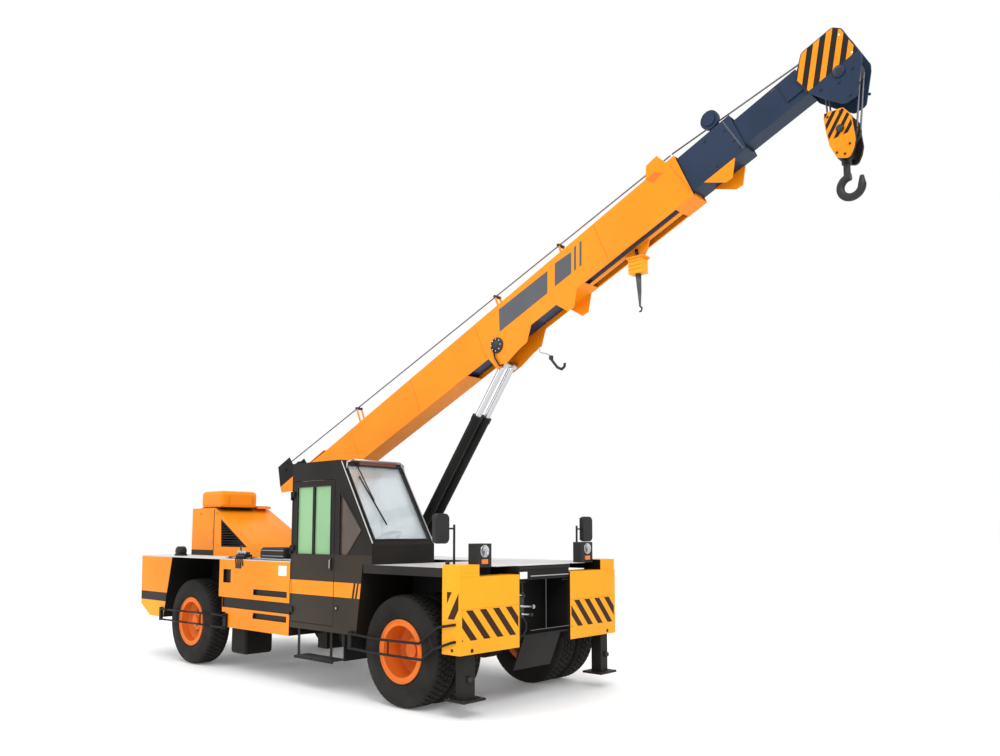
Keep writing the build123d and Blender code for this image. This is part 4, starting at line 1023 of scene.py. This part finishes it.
rope = Piece()
rope.rod(on_boom(rope_start, 0.0, 0.875), on_boom(5.93, 0.0, 0.655), 0.008, "rope", 10)
for u in (0.75, 3.45, 4.45):
    height = roller_height(u)
    rope.box((u - 0.03, -0.06, 0.536), (u + 0.03, 0.06, 0.556), "orange", on_boom)
    for y in (-0.045, 0.035):
        rope.box((u - 0.012, y, 0.55), (u + 0.012, y + 0.010, height - 0.012), "orange", on_boom)
    rope.rod(on_boom(u, -0.05, height), on_boom(u, 0.05, height), 0.018, "iron")
rope.done("rope_rear_run", "boom", "steel")
rope = Piece()
rope.tube([on_boom(u, 0.0, v) for u, v in ((5.95, 0.655), (7.43, 0.492), (7.56, 0.470), (7.668, 0.30),
                                           (7.669, 0.13))], 0.008, "rope", 10)
rope.lathe([(-0.085, 0.0), (-0.085, 0.022), (-0.020, 0.022), (-0.016, 0.058), (-0.009, 0.050), (0.009, 0.050),
            (0.016, 0.058), (0.020, 0.022), (0.085, 0.022), (0.085, 0.0)],
           on_boom(7.49, 0.0, 0.430), "iron", 32)
rope.done("rope_front_run", "fly", "steel")
print("hoist rope, first roller at", roller_height(0.75))

# %% [markdown]
# ## Hung box and spare hook under the boom
# A small yellow box with a tapered grey strand hangs below the boom, and further back a short wire ends in
# a little black hook. Each is a handful of rods and boxes. Tapering needs no modifier, since a rod takes a
# second radius.

# %% Box with its strand, wire with its hook
hung_y, spare_y = -0.020, -0.126
hung = Piece()
hung.box((2.655, -0.075, 4.292), (2.812, 0.035, 4.448), "yellow")
hung.box((2.640, -0.085, 4.440), (2.830, 0.045, 4.462), "orange")
hung.rod((2.735, hung_y, 4.460), (2.715, hung_y, 4.545), 0.016, "iron", 12)
hung.rod((2.736, hung_y, 4.292), (2.746, hung_y, 4.110), 0.030, "panel", 14, 0.020)
hung.rod((2.746, hung_y, 4.110), (2.750, hung_y, 3.960), 0.020, "panel", 14, 0.009)
hung.tube([(x, hung_y, z) for x, z in ((2.750, 3.965), (2.772, 3.945), (2.764, 3.915), (2.742, 3.912))],
          0.008, "iron", 10)
for z in (4.330, 4.370, 4.410):
    hung.box((2.660, -0.0775, z), (2.807, -0.0745, z + 0.004), "rim")
hung.done("hung_box", "boom", "orange")
spare = Piece()
spare.tube([(1.519, -0.100, 3.720), (1.560, -0.118, 3.660), (1.640, -0.124, 3.634), (1.712, spare_y, 3.600)],
           0.006, "steel", 8)
spare.box((1.694, -0.140, 3.560), (1.730, -0.112, 3.602), "iron")
spare.tube([(x, spare_y, z) for x, z in ((1.712, 3.565), (1.742, 3.529), (1.796, 3.466), (1.850, 3.440),
                                         (1.888, 3.462), (1.894, 3.500))], 0.014, "iron", 12)
spare.done("spare_hook", "boom", "iron")
print("hung pieces")

# %% [markdown]
# ## Cab paint
# The cab is black above its sills and brown-grey below them on the door side. The slanted window on that side
# is smoked and the other panes of the shell are clear. The step's tread is grey, and the front deck is bare
# plate on top only. Each of these is a rule for the same stand-ins as before.

# %% Two colours on the cab
sill = 1.505


def cab_paint(centre, normal):
    return "brown" if centre.z < sill and centre.y < -1.20 and normal.y < -0.5 else "cab"


def glass_paint(centre, normal):
    return "smoke" if centre.y < -1.2 else "glass"


def step_paint(centre, normal):
    return "panel" if centre.z < 0.352 and abs(normal.z) > 0.5 else "black"


def deck_paint(centre, normal):
    return "plate" if normal.z > 0.9 else "stripe"


recoat("cab_shell", cab_paint, 0.004, (sill,))
recoat("cab_door", cab_paint, 0.003, (sill,))
recoat("cab_glass", glass_paint)
recoat("cab_step", step_paint)
recoat("front_deck", deck_paint, 0.002)
print("cab painted, sill at", sill)

# %% [markdown]
# ## Cab band, door trim and quarter window
# One orange band crosses the door and ends in two slanted slits. It is foil, so it is a thin sheet again, in
# pieces: those on the door swing with it, and the rest ride on the carrier. The door also gets its handle and
# the rubber frames of its two panes, and the cab gets a lock and the gasket of its slanted window.

# %% Pieces on the door and on the cab side
def on_side(x, z, out):
    """Point on the right side of the cab, out metres off it."""
    return Vector((x, -side_face - out, z))


band_low, band_high = 1.047, 1.207
pane_foot, pane_top, frame_width = sill, 2.265, 0.012
band = Piece()
band.prism(box_outline(-1.229, band_low, -0.442, band_high), foil, on_side, "orange")
band.box((-0.505, -1.290, 1.330), (-0.475, -1.276, 1.470), "plastic")
band.tube([(-0.490, y, z) for y, z in ((-1.280, 1.350), (-1.300, 1.360), (-1.300, 1.440), (-1.280, 1.450))],
          0.006, "chrome", 8)
for x0, x1 in ((-1.150, -0.850), (-0.815, -0.515)):
    for frame_bar in ((x0 - frame_width, pane_foot - frame_width, x1 + frame_width, pane_foot),
                      (x0 - frame_width, pane_top, x1 + frame_width, pane_top + frame_width),
                      (x0 - frame_width, pane_foot, x0, pane_top),
                      (x1, pane_foot, x1 + frame_width, pane_top)):
        band.prism(box_outline(*frame_bar), 0.004, lambda a, b, c: on_side(a, b, c - 0.0005), "plastic")
band.done("door_band", "door", "orange")

band = Piece()
for foot_a, foot_b, top_a, top_b in ((-0.431, -0.117, -0.431, -0.084), (-0.080, -0.062, -0.047, -0.023),
                                     (-0.025, 0.018, 0.007, 0.038), (-1.261, -1.237, -1.261, -1.237)):
    outline = [(foot_a, band_low), (foot_b, band_low), (top_b, band_high), (top_a, band_high)]
    band.prism(outline, foil, on_side, "orange")
band.rod((-0.380, -1.275, 0.927), (-0.380, -1.281, 0.927), 0.026, "stripe", 20)
band.rod((-0.380, -1.281, 0.927), (-0.380, -1.284, 0.927), 0.012, "steel", 14)
gasket = [(-0.352, 2.210), (0.040, 1.770), (-0.210, 1.500), (-0.352, 1.500)]
for p, q in zip(gasket, gasket[1:] + gasket[:1]):
    band.rod((p[0], -1.276, p[1]), (q[0], -1.276, q[1]), 0.007, "plastic", 8)
band.done("cab_band", "carrier", "orange")
print("cab band", band_low, band_high)

# %% [markdown]
# ## Windscreen trim, wiper and roof bar
# The windscreen lies in one slanted plane. Turning every point into that plane by hand would be slow, so a
# helper does it: t runs from the pane's top edge to its foot, y goes across, and out is the height above the
# glass. The bars, the rubber, the wiper and the bar over the roof are then short tubes, and the sun visor
# behind the pane is a flat box.

# %% Trim on the slanted pane
screen_top, screen_foot = Vector((-0.363, 0, 2.550)), Vector((0.213, 0, 1.617))
screen_out = Vector((0.851, 0, 0.525))


def on_screen(t, y, out):
    """Point over the slanted pane."""
    p = screen_top.lerp(screen_foot, t) + screen_out * out
    return Vector((p.x, y, p.z))


rubber_top, rubber_foot = 0.058, 0.942
trim = Piece()
for y in (-1.262, -0.393):
    trim.tube([on_screen(0.02, y, 0.004), on_screen(0.985, y, 0.004)], 0.0075, "steel", 8)
for t in (rubber_top, rubber_foot):
    trim.tube([on_screen(t, -1.215, 0.002), on_screen(t, -0.440, 0.002)], 0.008, "plastic", 8)
for y in (-1.213, -0.442):
    trim.tube([on_screen(rubber_top, y, 0.002), on_screen(rubber_foot, y, 0.002)], 0.008, "plastic", 8)
trim.tube([on_screen(0.06, -1.075, 0.012), on_screen(0.40, -1.045, 0.022), on_screen(0.50, -1.03, 0.020)],
          0.007, "stripe", 8)
trim.tube([on_screen(0.20, -1.105, 0.012), on_screen(0.775, -0.975, 0.012)], 0.009, "stripe", 8)
trim.rod(on_screen(0.045, -1.075, -0.004), on_screen(0.045, -1.075, 0.030), 0.020, "stripe", 16)
trim.box((-0.395, -1.02, 2.536), (-0.325, -0.49, 2.549), "clay")
trim.prism([(-0.372, 2.500), (-0.335, 2.500), (-0.335, 2.545), (-0.372, 2.549)], 0.53,
           lambda a, b, c: Vector((a, -1.02 + c, b)), "clay")
trim.tube([on_screen(t, y, out) for t, y, out in (
    (0.11, -1.235, 0.010), (0.055, -1.232, 0.050), (0.03, -1.14, 0.062), (0.03, -0.46, 0.062),
    (0.06, -0.410, 0.045), (0.12, -0.405, 0.010))], 0.009, "steel", 10)
trim.done("screen_trim", "carrier", "steel")
print("windscreen trim")

# %% [markdown]
# ## Seat cushions
# A driver's seat is two padded cushions in rough dark cloth. Cloth simulation would work, but a cushion that
# is seen through a window needs no more than its shape. A subdivided block is drawn in at its edges, swollen
# in the middle and given two sewn channels by plain arithmetic, and subdivision rounds it off.

# %% Two padded pieces
seat_y = -0.8275


def drawn_in(p):
    """Point of the block from -1 to 1, pulled towards a ball."""
    pulled = []
    for i in range(3):
        across = p[(i + 1) % 3] ** 2 + p[(i + 2) % 3] ** 2
        pulled.append(p[i] * math.sqrt(max(0.0, 1 - 0.34 * across / 2)))
    return pulled


def cushion(name, centre, size, lean, swell):
    """Padded piece of half sizes size, leant about the Y axis by some degrees."""
    bm = bmesh.new()
    bmesh.ops.create_cube(bm, size=2.0)
    bmesh.ops.subdivide_edges(bm, edges=bm.edges, cuts=9, use_grid_fill=True)
    turn = Matrix.Rotation(math.radians(lean), 3, "Y")
    for v in bm.verts:
        p = v.co.copy()
        q = drawn_in(p)
        channel = 0.010 * math.exp(-((abs(p.y) - 0.42) / 0.06) ** 2) if p.z > 0.9 else 0.0
        swollen = 1 + swell * (1 - p.x ** 2) * (1 - p.y ** 2)
        shaped = Vector((q[0] * size[0], q[1] * size[1], q[2] * size[2] * swollen - channel))
        v.co = turn @ shaped + Vector(centre)
    for f in bm.faces:
        f.smooth = True
    mesh = mesh_from(bm, name)
    mesh.materials.append(finishes["fabric"])
    obj = plain_object(name, mesh)
    rounder = obj.modifiers.new("round", "SUBSURF")
    rounder.levels = 1
    rounder.render_levels = 1
    settle(obj)
    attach(obj, "carrier")
    return obj


base = cushion("seat_cushion", (-0.770, seat_y, 1.190), (0.235, 0.232, 0.056), 0, 0.05)
back = cushion("seat_back", (-1.098, seat_y, 1.560), (0.055, 0.222, 0.300), -7.5, 0.02)
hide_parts("seat")
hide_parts("seat")
print("seat cushions")

# %% [markdown]
# ## Wheel nuts
# Ten nuts hold each disc. One nut on its bolt, with a washer below, is the unit: three short prisms of
# twelve, six and eight sides. It already stands at the radius of the nut circle, so the turned repeat only
# has to turn it.

# %% One nut
nut_circle = 0.165


def nut(bm):
    """Washer, hexagon and the end of the bolt."""
    for radius, y0, y1, sides in ((0.019, 0.0, 0.004, 12), (0.0155, 0.004, 0.024, 6),
                                  (0.008, 0.024, 0.036, 8)):
        rings = [[bm.verts.new((a, y, nut_circle + b)) for a, b in circle(radius, sides)] for y in (y0, y1)]
        bm.faces.new(rings[0])
        bm.faces.new(rings[1][::-1])
        for i in range(sides):
            j = (i + 1) % sides
            bm.faces.new((rings[0][i], rings[1][i], rings[1][j], rings[0][j]))


print("nut circle", nut_circle)

# %% [markdown]
# ## Flanges, hub caps and valves
# The rims are CAD. Their rolled flange, the hub cap with its small bolts and the air valve are too fine for
# the CAD, so they are turned and set here, and they ride on the wheel.

# %% Trim of the four wheels
def wheel_trim(tag, hub, disc_y, outer_y, hand, body):
    """Flange, hub cap, valve and nuts of one wheel."""
    wheel = Piece()
    flange = handed(hand, [(0.0, 0.302), (0.006, 0.306), (0.008, 0.314), (0.004, 0.319), (-0.006, 0.318),
                           (-0.008, 0.304)])
    wheel.lathe(flange, (hub.x, outer_y, hub.z), "rim", 64)
    cap = handed(hand, [(0.0, 0.0), (0.0, 0.092), (0.020, 0.092), (0.034, 0.080), (0.052, 0.074),
                        (0.060, 0.062), (0.062, 0.0)])
    wheel.lathe(cap, (hub.x, disc_y + hand * 0.009, hub.z), "rim", 40)
    for k in range(6):
        t = 2 * math.pi * k / 6 + 0.3
        head = Vector((hub.x + 0.046 * math.cos(t), disc_y + hand * 0.070, hub.z + 0.046 * math.sin(t)))
        wheel.rod(head, head + Vector((0, hand * 0.007, 0)), 0.008, "steel", 6)
    wheel.rod((hub.x + 0.20, disc_y + hand * 0.040, hub.z + 0.10),
              (hub.x + 0.215, disc_y + hand * 0.085, hub.z + 0.11), 0.006, "steel", 10)
    wheel.done("wheel_trim_" + tag, body, "orange")
    place = Matrix.Translation((hub.x, disc_y + hand * 0.014, hub.z))
    if hand < 0:
        place = place @ Matrix.Rotation(math.pi, 4, "Z")
    repeated("nuts_" + tag, turned_copies, unit_mesh(nut), place, body, "steel", Count=10,
             Finish=finishes["steel"])


front_disc_y, rear_disc_y = 0.959, 1.090
for side, hand in both_sides:
    low, high = corners("front_rims_" + side)
    face = hand * max(abs(low.y), abs(high.y))
    wheel_trim("front_" + side, axle_front, hand * front_disc_y, face, hand, "front_wheel_" + side)
    wheel_trim("rear_" + side, axle_rear, hand * rear_disc_y, face, hand, "rear_wheel_" + side)
print("wheel trims, discs at", front_disc_y, rear_disc_y)

# %% [markdown]
# ## Rear wheel guards
# The middle of each rear guard passes right outside the tyre. The CAD holds its fixed ends on the carrier.
# The middle bars ride on the knuckle, so they turn with the wheel and never cut through it.

# %% Middle bars of the guards
guard_y = 1.308
for side, hand in both_sides:
    guard = Piece()
    y = hand * guard_y
    for rear_z, middle_z, front_z in ((0.682, 0.689, 0.697), (0.542, 0.545, 0.548)):
        guard.tube([(-4.160, y, rear_z), (-3.600, y, middle_z), (-3.015, y, front_z)], 0.0125, "black", 12)
    for x in (-3.900, -3.260):
        guard.rod((x, y, 0.543), (x, y, 0.690), 0.009, "black", 10)
    guard.done("rear_guard_" + side, "steer_%s_body" % side, "black")
print("rear guards")

# %% [markdown]
# ## Hood fittings
# The engine's hood has a dark strip at its foot, a dark seam at its rear door, two latches, two locks, two
# handles on the cowl's front, a dark rim under the cowl and a lid beside it. They could be drawn into the CAD
# hood, but they are loose parts of other finishes. Here they are boxes, rods and tubes of the piece that also
# takes the deck's small parts, because all of them share a body.

# %% Hood and cowl
deck = Piece()
deck.box((-4.800, -0.6525, 1.412), (-4.173, -0.6495, 1.490), "stripe")
deck.box((-4.172, -0.6520, 1.414), (-4.158, -0.6495, 2.075), "stripe")
for z in (1.75, 1.60):
    deck.box((-4.235, -0.658, z), (-4.205, -0.650, z + 0.035), "steel")
for x in (-4.55, -4.08):
    deck.rod((x, -0.660, 2.02), (x, -0.650, 2.02), 0.014, "rim", 12)
for y in (-0.50, -0.11):
    deck.tube([(-4.0215, y, 2.160), (-4.0150, y, 2.215), (-4.0215, y, 2.270)], 0.010, "rim", 8)
deck.box((-4.590, -0.618, 2.1000), (-4.035, -0.046, 2.1115), "stripe")
deck.box((-4.60, -0.02, 2.099), (-4.03, 0.20, 2.135), "orange")
deck.box((-4.56, 0.01, 2.134), (-4.07, 0.17, 2.139), "stripe")
print("hood fittings")

# %% [markdown]
# ## Deck edges, filler and tail
# Bright strips edge the deck, a filler drum stands on it, and a slim line and a blank plate lie on its right
# side. The tail carries four lamps, a blank plate and the tow eye. Its back leans forward towards the foot.
# So these are boxes that stand out of it and end a hair short of its rear edge, within the size of the CAD.

# %% Strips, drum, lamps and plates
deck.lathe([(-0.06, 0.0), (-0.06, 0.055), (-0.045, 0.068), (0.045, 0.068), (0.06, 0.055), (0.06, 0.0)],
           (-4.40, -1.02, 1.478), "plastic", 32)
deck.box((-4.49, -1.07, 1.409), (-4.31, -0.97, 1.440), "plastic")
for x0, x1, y0, y1 in ((-5.060, -2.0, -flush_y, -1.235), (-5.060, -1.30, 1.235, flush_y),
                       (-5.062, -5.02, -1.27, 1.27)):
    deck.box((x0, y0, deck_top - 0.0005), (x1, y1, deck_top + 0.0025), "plate")
for y, mat in ((-1.13, "red"), (-1.00, "amber"), (1.13, "red"), (1.00, "amber")):
    deck.box((tail_face + 0.0002, y - 0.055, 1.150), (-5.045, y + 0.055, 1.235), mat)
    deck.box((tail_face + 0.0005, y - 0.065, 1.140), (-5.050, y + 0.065, 1.150), "plastic")
deck.box((tail_face + 0.0002, -0.26, 0.98), (-5.055, 0.26, 1.10), "white")
deck.box((tail_face + 0.0002, -0.09, 0.70), (-5.02, 0.09, 0.86), "iron")
deck.box((-2.02, -side_face - 0.0022, 1.237), (-1.335, -flush_y, 1.239), "rim")
deck.box((-1.512, -side_face - 0.0018, 1.237), (-1.345, -flush_y, 1.355), "white")
deck.done("deck_fittings", "carrier", "steel")
print("deck and tail fittings")

# %% [markdown]
# ## Control box
# A dark moulded box stands on the right deck, with a slanted rear end and a bright trim. Its side view is
# drawn as an outline and pulled across, and a wide bevel gives it the look of a moulding.

# %% Box and trim
control = Piece()
outline = [(-2.055, 1.411), (-1.531, 1.411), (-1.531, 1.565), (-2.000, 1.565), (-2.040, 1.545),
           (-2.055, 1.500)]
control.prism(outline, 0.44, lambda a, b, c: Vector((a, -1.195 + c, b)), "plastic")
made = control.done("control_box", "carrier", "black", bevel=0.018)
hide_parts("deck_box")
control = Piece()
for z in (1.462, 1.528):
    control.tube([(-2.00, -1.197, z), (-1.54, -1.197, z)], 0.005, "steel", 8)
control.prism(box_outline(-1.985, 1.478, -1.545, 1.514), 0.004,
              lambda a, b, c: Vector((a, -1.1995 + c, b)), "stripe")
control.done("control_trim", "carrier", "steel")
print("control box")

# %% [markdown]
# ## Valve bank
# Four valves stand in a row at the deck's edge, each with a cap, a bolt and a hose over the side, and one
# has a bent lever. Three steel pipes run past them in clips. A loop builds one valve four times, and the
# pipes are tubes that drift inwards on their way to the front.

# %% Valves, lever and pipes
valves = Piece()
valves.box((-2.500, -1.262, 1.412), (-2.300, -1.150, 1.470), "iron")
for k in range(4):
    x = -2.475 + 0.05 * k
    valves.rod((x, -1.235, 1.470), (x, -1.235, 1.520), 0.016, "steel", 12)
    valves.rod((x, -1.180, 1.470), (x, -1.180, 1.500), 0.013, "iron", 6)
    valves.tube([(x, -1.262, 1.440), (x + 0.01, -1.284, 1.425), (x + 0.02, -1.286, 1.370),
                 (x + 0.03, -1.278, 1.330)], 0.0075, "hose", 8)
valves.rod((-2.420, -1.235, 1.515), (-2.430, -1.240, 1.575), 0.010, "iron", 10)
valves.rod((-2.430, -1.240, 1.570), (-2.360, -1.230, 1.575), 0.010, "iron", 10)
valves.box((-2.46, -1.288, 1.300), (-2.34, -1.2745, 1.350), "iron")
for y, z in ((-1.225, 1.424), (-1.200, 1.428), (-1.175, 1.424)):
    valves.tube([(-2.78, y, z), (-2.50, y, z), (-2.30, y, z), (-1.30, y + 0.02, z)], 0.009, "steel", 8)
for x in (-2.70, -2.20):
    valves.box((x, -1.245, 1.412), (x + 0.03, -1.155, 1.442), "panel")
valves.done("valve_bank", "carrier", "iron")
print("valve bank")

# %% [markdown]
# ## Chequer plate
# The walked decks are chequer plate: short raised bars, each second one turned by a quarter, so that a boot
# grips both ways. A bump map could show them, but it stays flat at low angles. Real bars catch the light
# there, and one bar in the grid repeat makes a whole deck.

# %% Bars on the decks
def chequer_bar(bm):
    """One raised bar, pointed at both ends."""
    low = [(-0.016, 0, 0), (0, -0.0045, 0), (0.016, 0, 0), (0, 0.0045, 0)]
    high = [(-0.011, 0, 0.0022), (0, -0.0028, 0.0022), (0.011, 0, 0.0022), (0, 0.0028, 0.0022)]
    hexahedron(bm, low + high)


def chequer(tag, x0, y0, x1, y1, pitch=0.036):
    """Bars on the stretch of deck between two corners; returns their number."""
    nx, ny = int((x1 - x0) / pitch) + 1, int((y1 - y0) / pitch) + 1
    place = Matrix.Translation(((x0 + x1) / 2, (y0 + y1) / 2, deck_top - 0.0002))
    repeated("chequer_" + tag, grid_copies, unit_mesh(chequer_bar), place, "carrier", "steel",
             Size_X=(nx - 1) * pitch, Size_Y=(ny - 1) * pitch, Count_X=nx, Count_Y=ny, Twist=1.0,
             Finish=finishes["plate"])
    return nx * ny


bars = chequer("front", 0.24, -1.24, 1.262, 1.24)
bars += chequer("nose", 1.290, -0.72, 1.495, 0.72)
bars += chequer("rear_right", -5.00, -1.215, -2.84, -0.68)
bars += chequer("rear_left", -5.00, 0.29, -2.52, 1.215)
print("bars of chequer plate", bars)

# %% [markdown]
# ## Headlamps
# Each headlamp is a dark box with a round lens in a chrome ring and an amber block below. The box is CAD. The
# lens and the ring are turned about the driving direction, so they need no cutting. The same cell adds the
# small round marks and the seam of the jack boxes, which are thin discs and a strip.

# %% Headlamps and marks of the jack boxes
lamp_y, lamp_z = 0.852, 1.565
nose = Piece()
for hand in (-1, 1):
    y = hand * lamp_y
    nose.lathe([(0.0, 0.0), (0.0, 0.062), (0.006, 0.062), (0.007, 0.054), (0.003, 0.053), (0.003, 0.0)],
               (1.4385, y, lamp_z), "chrome", 32, axis="X")
    nose.lathe([(0.0, 0.0), (0.0, 0.052), (0.0012, 0.050), (0.0014, 0.030), (0.0015, 0.0)],
               (1.4392, y, lamp_z), "lens", 32, axis="X")
    nose.box((1.430, y - 0.045, 1.440), (1.446, y + 0.045, 1.486), "amber")
    nose.box((1.330, y - 0.03, 1.408), (1.39, y + 0.03, 1.424), "black")
    nose.rod((nose_face - 0.001, hand * 1.110, 0.632), (nose_face + 0.0015, hand * 1.110, 0.632), 0.020,
             "maroon", 14)
    nose.rod((1.417, hand * 1.2745, 0.640), (1.417, hand * 1.2775, 0.640), 0.016, "maroon", 14)
    y0, y1 = sorted((hand * 0.44, hand * 1.255))
    nose.box((nose_face - 0.0005, y0, 1.020), (nose_face + 0.0008, y1, 1.024), "rim")
print("lamps at", lamp_y, lamp_z)

# %% [markdown]
# ## Nose between the jack boxes
# The nose carries a dark apron with bright lines, a small blank plate, and a valve group with three short
# pipes and three hoses. Each is a thin box or a rod just in front of the apron. A hose is a tube with two
# bends, and one number says how far it bows out to the side.

# %% Apron, valve group and hoses
apron, apron_y = 1.5005, 0.419
nose.box((apron, -0.400, 1.276), (1.508, -0.284, 1.345), "white")
nose.box((1.4985, -apron_y, 1.372), (1.5200, apron_y, 1.4085), "stripe")
nose.box((apron, -0.235, 1.294), (1.5120, 0.405, 1.304), "steel")
nose.box((apron, -apron_y, 1.262), (1.5040, apron_y, 1.372), "black")
nose.box((apron, -0.235, 0.742), (1.5100, 0.412, 0.750), "panel")
nose.box((1.4985, 0.022, 0.750), (1.5040, 0.030, 1.262), "panel")
nose.box((1.470, -0.415, 0.880), (1.500, -0.330, 1.140), "iron")
for y0, z0, y1, z1, r, nut_mat in ((-0.43, 1.119, -0.335, 1.104, 0.008, "iron"),
                                   (-0.40, 1.002, -0.18, 0.985, 0.011, "steel"),
                                   (-0.38, 0.922, -0.21, 0.905, 0.009, "iron")):
    nose.rod((1.506, y0, z0), (1.506, y1, z1), r, "steel", 12)
    nose.rod((1.506, y1 - 0.030, z1), (1.506, y1, z1), r * 2.1, nut_mat, 6)
for y, z0, z1, bow in ((-0.39, 1.10, 1.26, 0.02), (-0.34, 0.88, 0.70, 0.03), (-0.39, 0.90, 0.66, -0.02)):
    nose.tube([(1.500, y, z0), (1.512, y + bow, (2 * z0 + z1) / 3), (1.511, y + bow, (z0 + 2 * z1) / 3),
               (1.494, y, z1)], 0.010, "hose", 8)
nose.done("nose_fittings", "carrier", "steel")
print("nose fittings")

# %% [markdown]
# ## Mirror glasses
# A mirror's glass is a thin bright sheet on the back of its housing, and its foot is a short post. A chrome
# finish on a flat sheet mirrors the room by itself, so no camera trick is needed.

# %% Mirrors
glasses = Piece()
for hand in (-1, 1):
    glasses.prism(box_outline(-0.080, 1.655, 0.080, 1.920), 0.0012,
                  lambda a, b, c: Vector((1.1345 - c, hand * 1.195 + a, b)), "chrome")
    glasses.rod((1.20, hand * 1.13, 1.43), (1.20, hand * 1.13, 1.47), 0.022, "iron", 14)
glasses.done("mirror_glass", "carrier", "chrome")
print("mirror glasses")

# %% [markdown]
# ## Jack pins
# Each jack leg has a locking pin with a collar and a nut, and four bolts on its foot plate. They are stepped
# rods, and they ride on the jack's body, so they go down with the leg.

# %% Pins and foot bolts
pin_y, pin_z = 1.120, 0.362
foot_x, foot_y = 1.417, 1.095
for side, hand in both_sides:
    pins = Piece()
    for x0, x1, r, mat, sides in ((1.4815, 1.4950, 0.036, "black", 20), (1.4950, 1.5120, 0.020, "panel", 14),
                                  (1.5120, 1.5160, 0.026, "iron", 6)):
        pins.rod((x0, hand * pin_y, pin_z), (x1, hand * pin_y, pin_z), r, mat, sides)
    for dx in (-0.10, 0.10):
        for dy in (-0.12, 0.12):
            x, y = foot_x + dx, hand * foot_y + dy
            pins.rod((x, y, 0.166), (x, y, 0.180), 0.011, "steel", 6)
    pins.done("jack_pins_" + side, "jack_" + side, "steel")
print("jack pins at", pin_y, pin_z)

# %% [markdown]
# ## Under the cab
# Between the axles hang the air tank with its straps and pipe, the drive shaft with its joints, and a mud
# flap. They are dark and half hidden, but without them light shines through under the cab. The tank is a
# lathed profile with domed ends.

# %% Tank, shaft and flap
shaft_z = 0.56
under = Piece()
under.lathe([(-0.36, 0.0), (-0.36, 0.06), (-0.335, 0.115), (-0.30, 0.125), (0.30, 0.125), (0.335, 0.115),
             (0.36, 0.06), (0.36, 0.0)], (-0.80, -0.56, 0.530), "black", 32, axis="X")
for x in (-1.02, -0.58):
    under.box((x - 0.018, -0.690, 0.401), (x + 0.018, -0.430, 0.409), "iron")
    under.box((x - 0.018, -0.691, 0.405), (x + 0.018, -0.684, 0.658), "iron")
under.rod((-3.35, 0.0, shaft_z), (0.42, 0.0, shaft_z), 0.045, "iron", 20)
for x in (-3.30, -1.60, 0.36):
    under.rod((x - 0.05, 0.0, shaft_z), (x + 0.05, 0.0, shaft_z), 0.075, "black", 20)
under.box((-0.640, -0.97, 0.300), (-0.622, -0.62, 0.662), "hose")
under.box((-1.42, -0.76, 0.36), (-1.24, -0.46, 0.556), "black")
under.tube([(-1.16, -0.60, 0.54), (-1.22, -0.62, 0.56), (-1.30, -0.64, 0.552)], 0.010, "steel", 8)
under.done("underbody", "carrier", "black")
print("underbody")

# %% [markdown]
# ## Floor and light
# The crane stands on a pale floor in a bright room. An image of a studio could light it, but it would be one
# more file. A white world gives the even light, and three large discs add direction: a key from the front
# right, one from above and one from the side.

# %% Studio
def floor():
    """Wide pale ground, kept out of the part."""
    bm = bmesh.new()
    bmesh.ops.create_grid(bm, x_segments=1, y_segments=1, size=150)
    mesh = mesh_from(bm, "floor")
    mesh.materials.append(shader("studio_floor", (0.90, 0.90, 0.90), 0.60, 0.01, spec=0.2, bump=0.0,
                                 glow=0.12))
    obj = plain_object("floor", mesh)


def area_light(name, where, aim, size, power):
    """Soft round lamp that shines from where towards aim."""
    data = bpy.data.lights.new(name, "AREA")
    data.shape = "DISK"
    data.size = size
    data.energy = power
    obj = plain_object(name, data)
    obj.location = where
    obj.rotation_euler = (Vector(aim) - Vector(where)).to_track_quat("-Z", "Y").to_euler()


floor()
area_light("key", (11.0, -7.0, 12.0), (0, 0, 1.5), 7.0, 900)
area_light("top", (-2.0, -2.0, 15.0), (-1, 0, 1.5), 11.0, 600)
area_light("side", (-6.0, -13.0, 6.0), (-1, 0, 2.0), 8.0, 350)
world = bpy.data.worlds.new("studio")
world.use_nodes = True
sky = world.node_tree.nodes["Background"]
sky.inputs["Color"].default_value = (1, 1, 1, 1)
sky.inputs["Strength"].default_value = 1.0
bpy.context.scene.world = world
bpy.context.scene.view_settings.view_transform = "Standard"
print("lights", len(bpy.data.lights))

# %% [markdown]
# ## Camera
# The camera stands at eye height off the front right corner and looks slightly up. Tilting it further would
# make the uprights lean, so a small upward shift of the lens brings in the boom's head instead.

# %% View
camera_data = bpy.data.cameras.new("camera")
camera_data.lens = 30.18
camera_data.sensor_width = 36.0
camera_data.shift_y = 0.0732
camera_data.clip_end = 200.0
camera = plain_object("camera", camera_data)
camera.location = (axle_front.x + 6.491, -6.926, 1.761)
yaw, pitch = math.radians(47.766), math.radians(5.455)
view = Vector((-math.cos(yaw) * math.cos(pitch), math.sin(yaw) * math.cos(pitch), math.sin(pitch)))
camera.rotation_euler = view.to_track_quat("-Z", "Y").to_euler()
bpy.context.scene.camera = camera
print("camera", camera.location[:])

# %% [markdown]
# ## Last update
# The view layer is updated once more.

# %% Last update
bpy.context.view_layer.update()
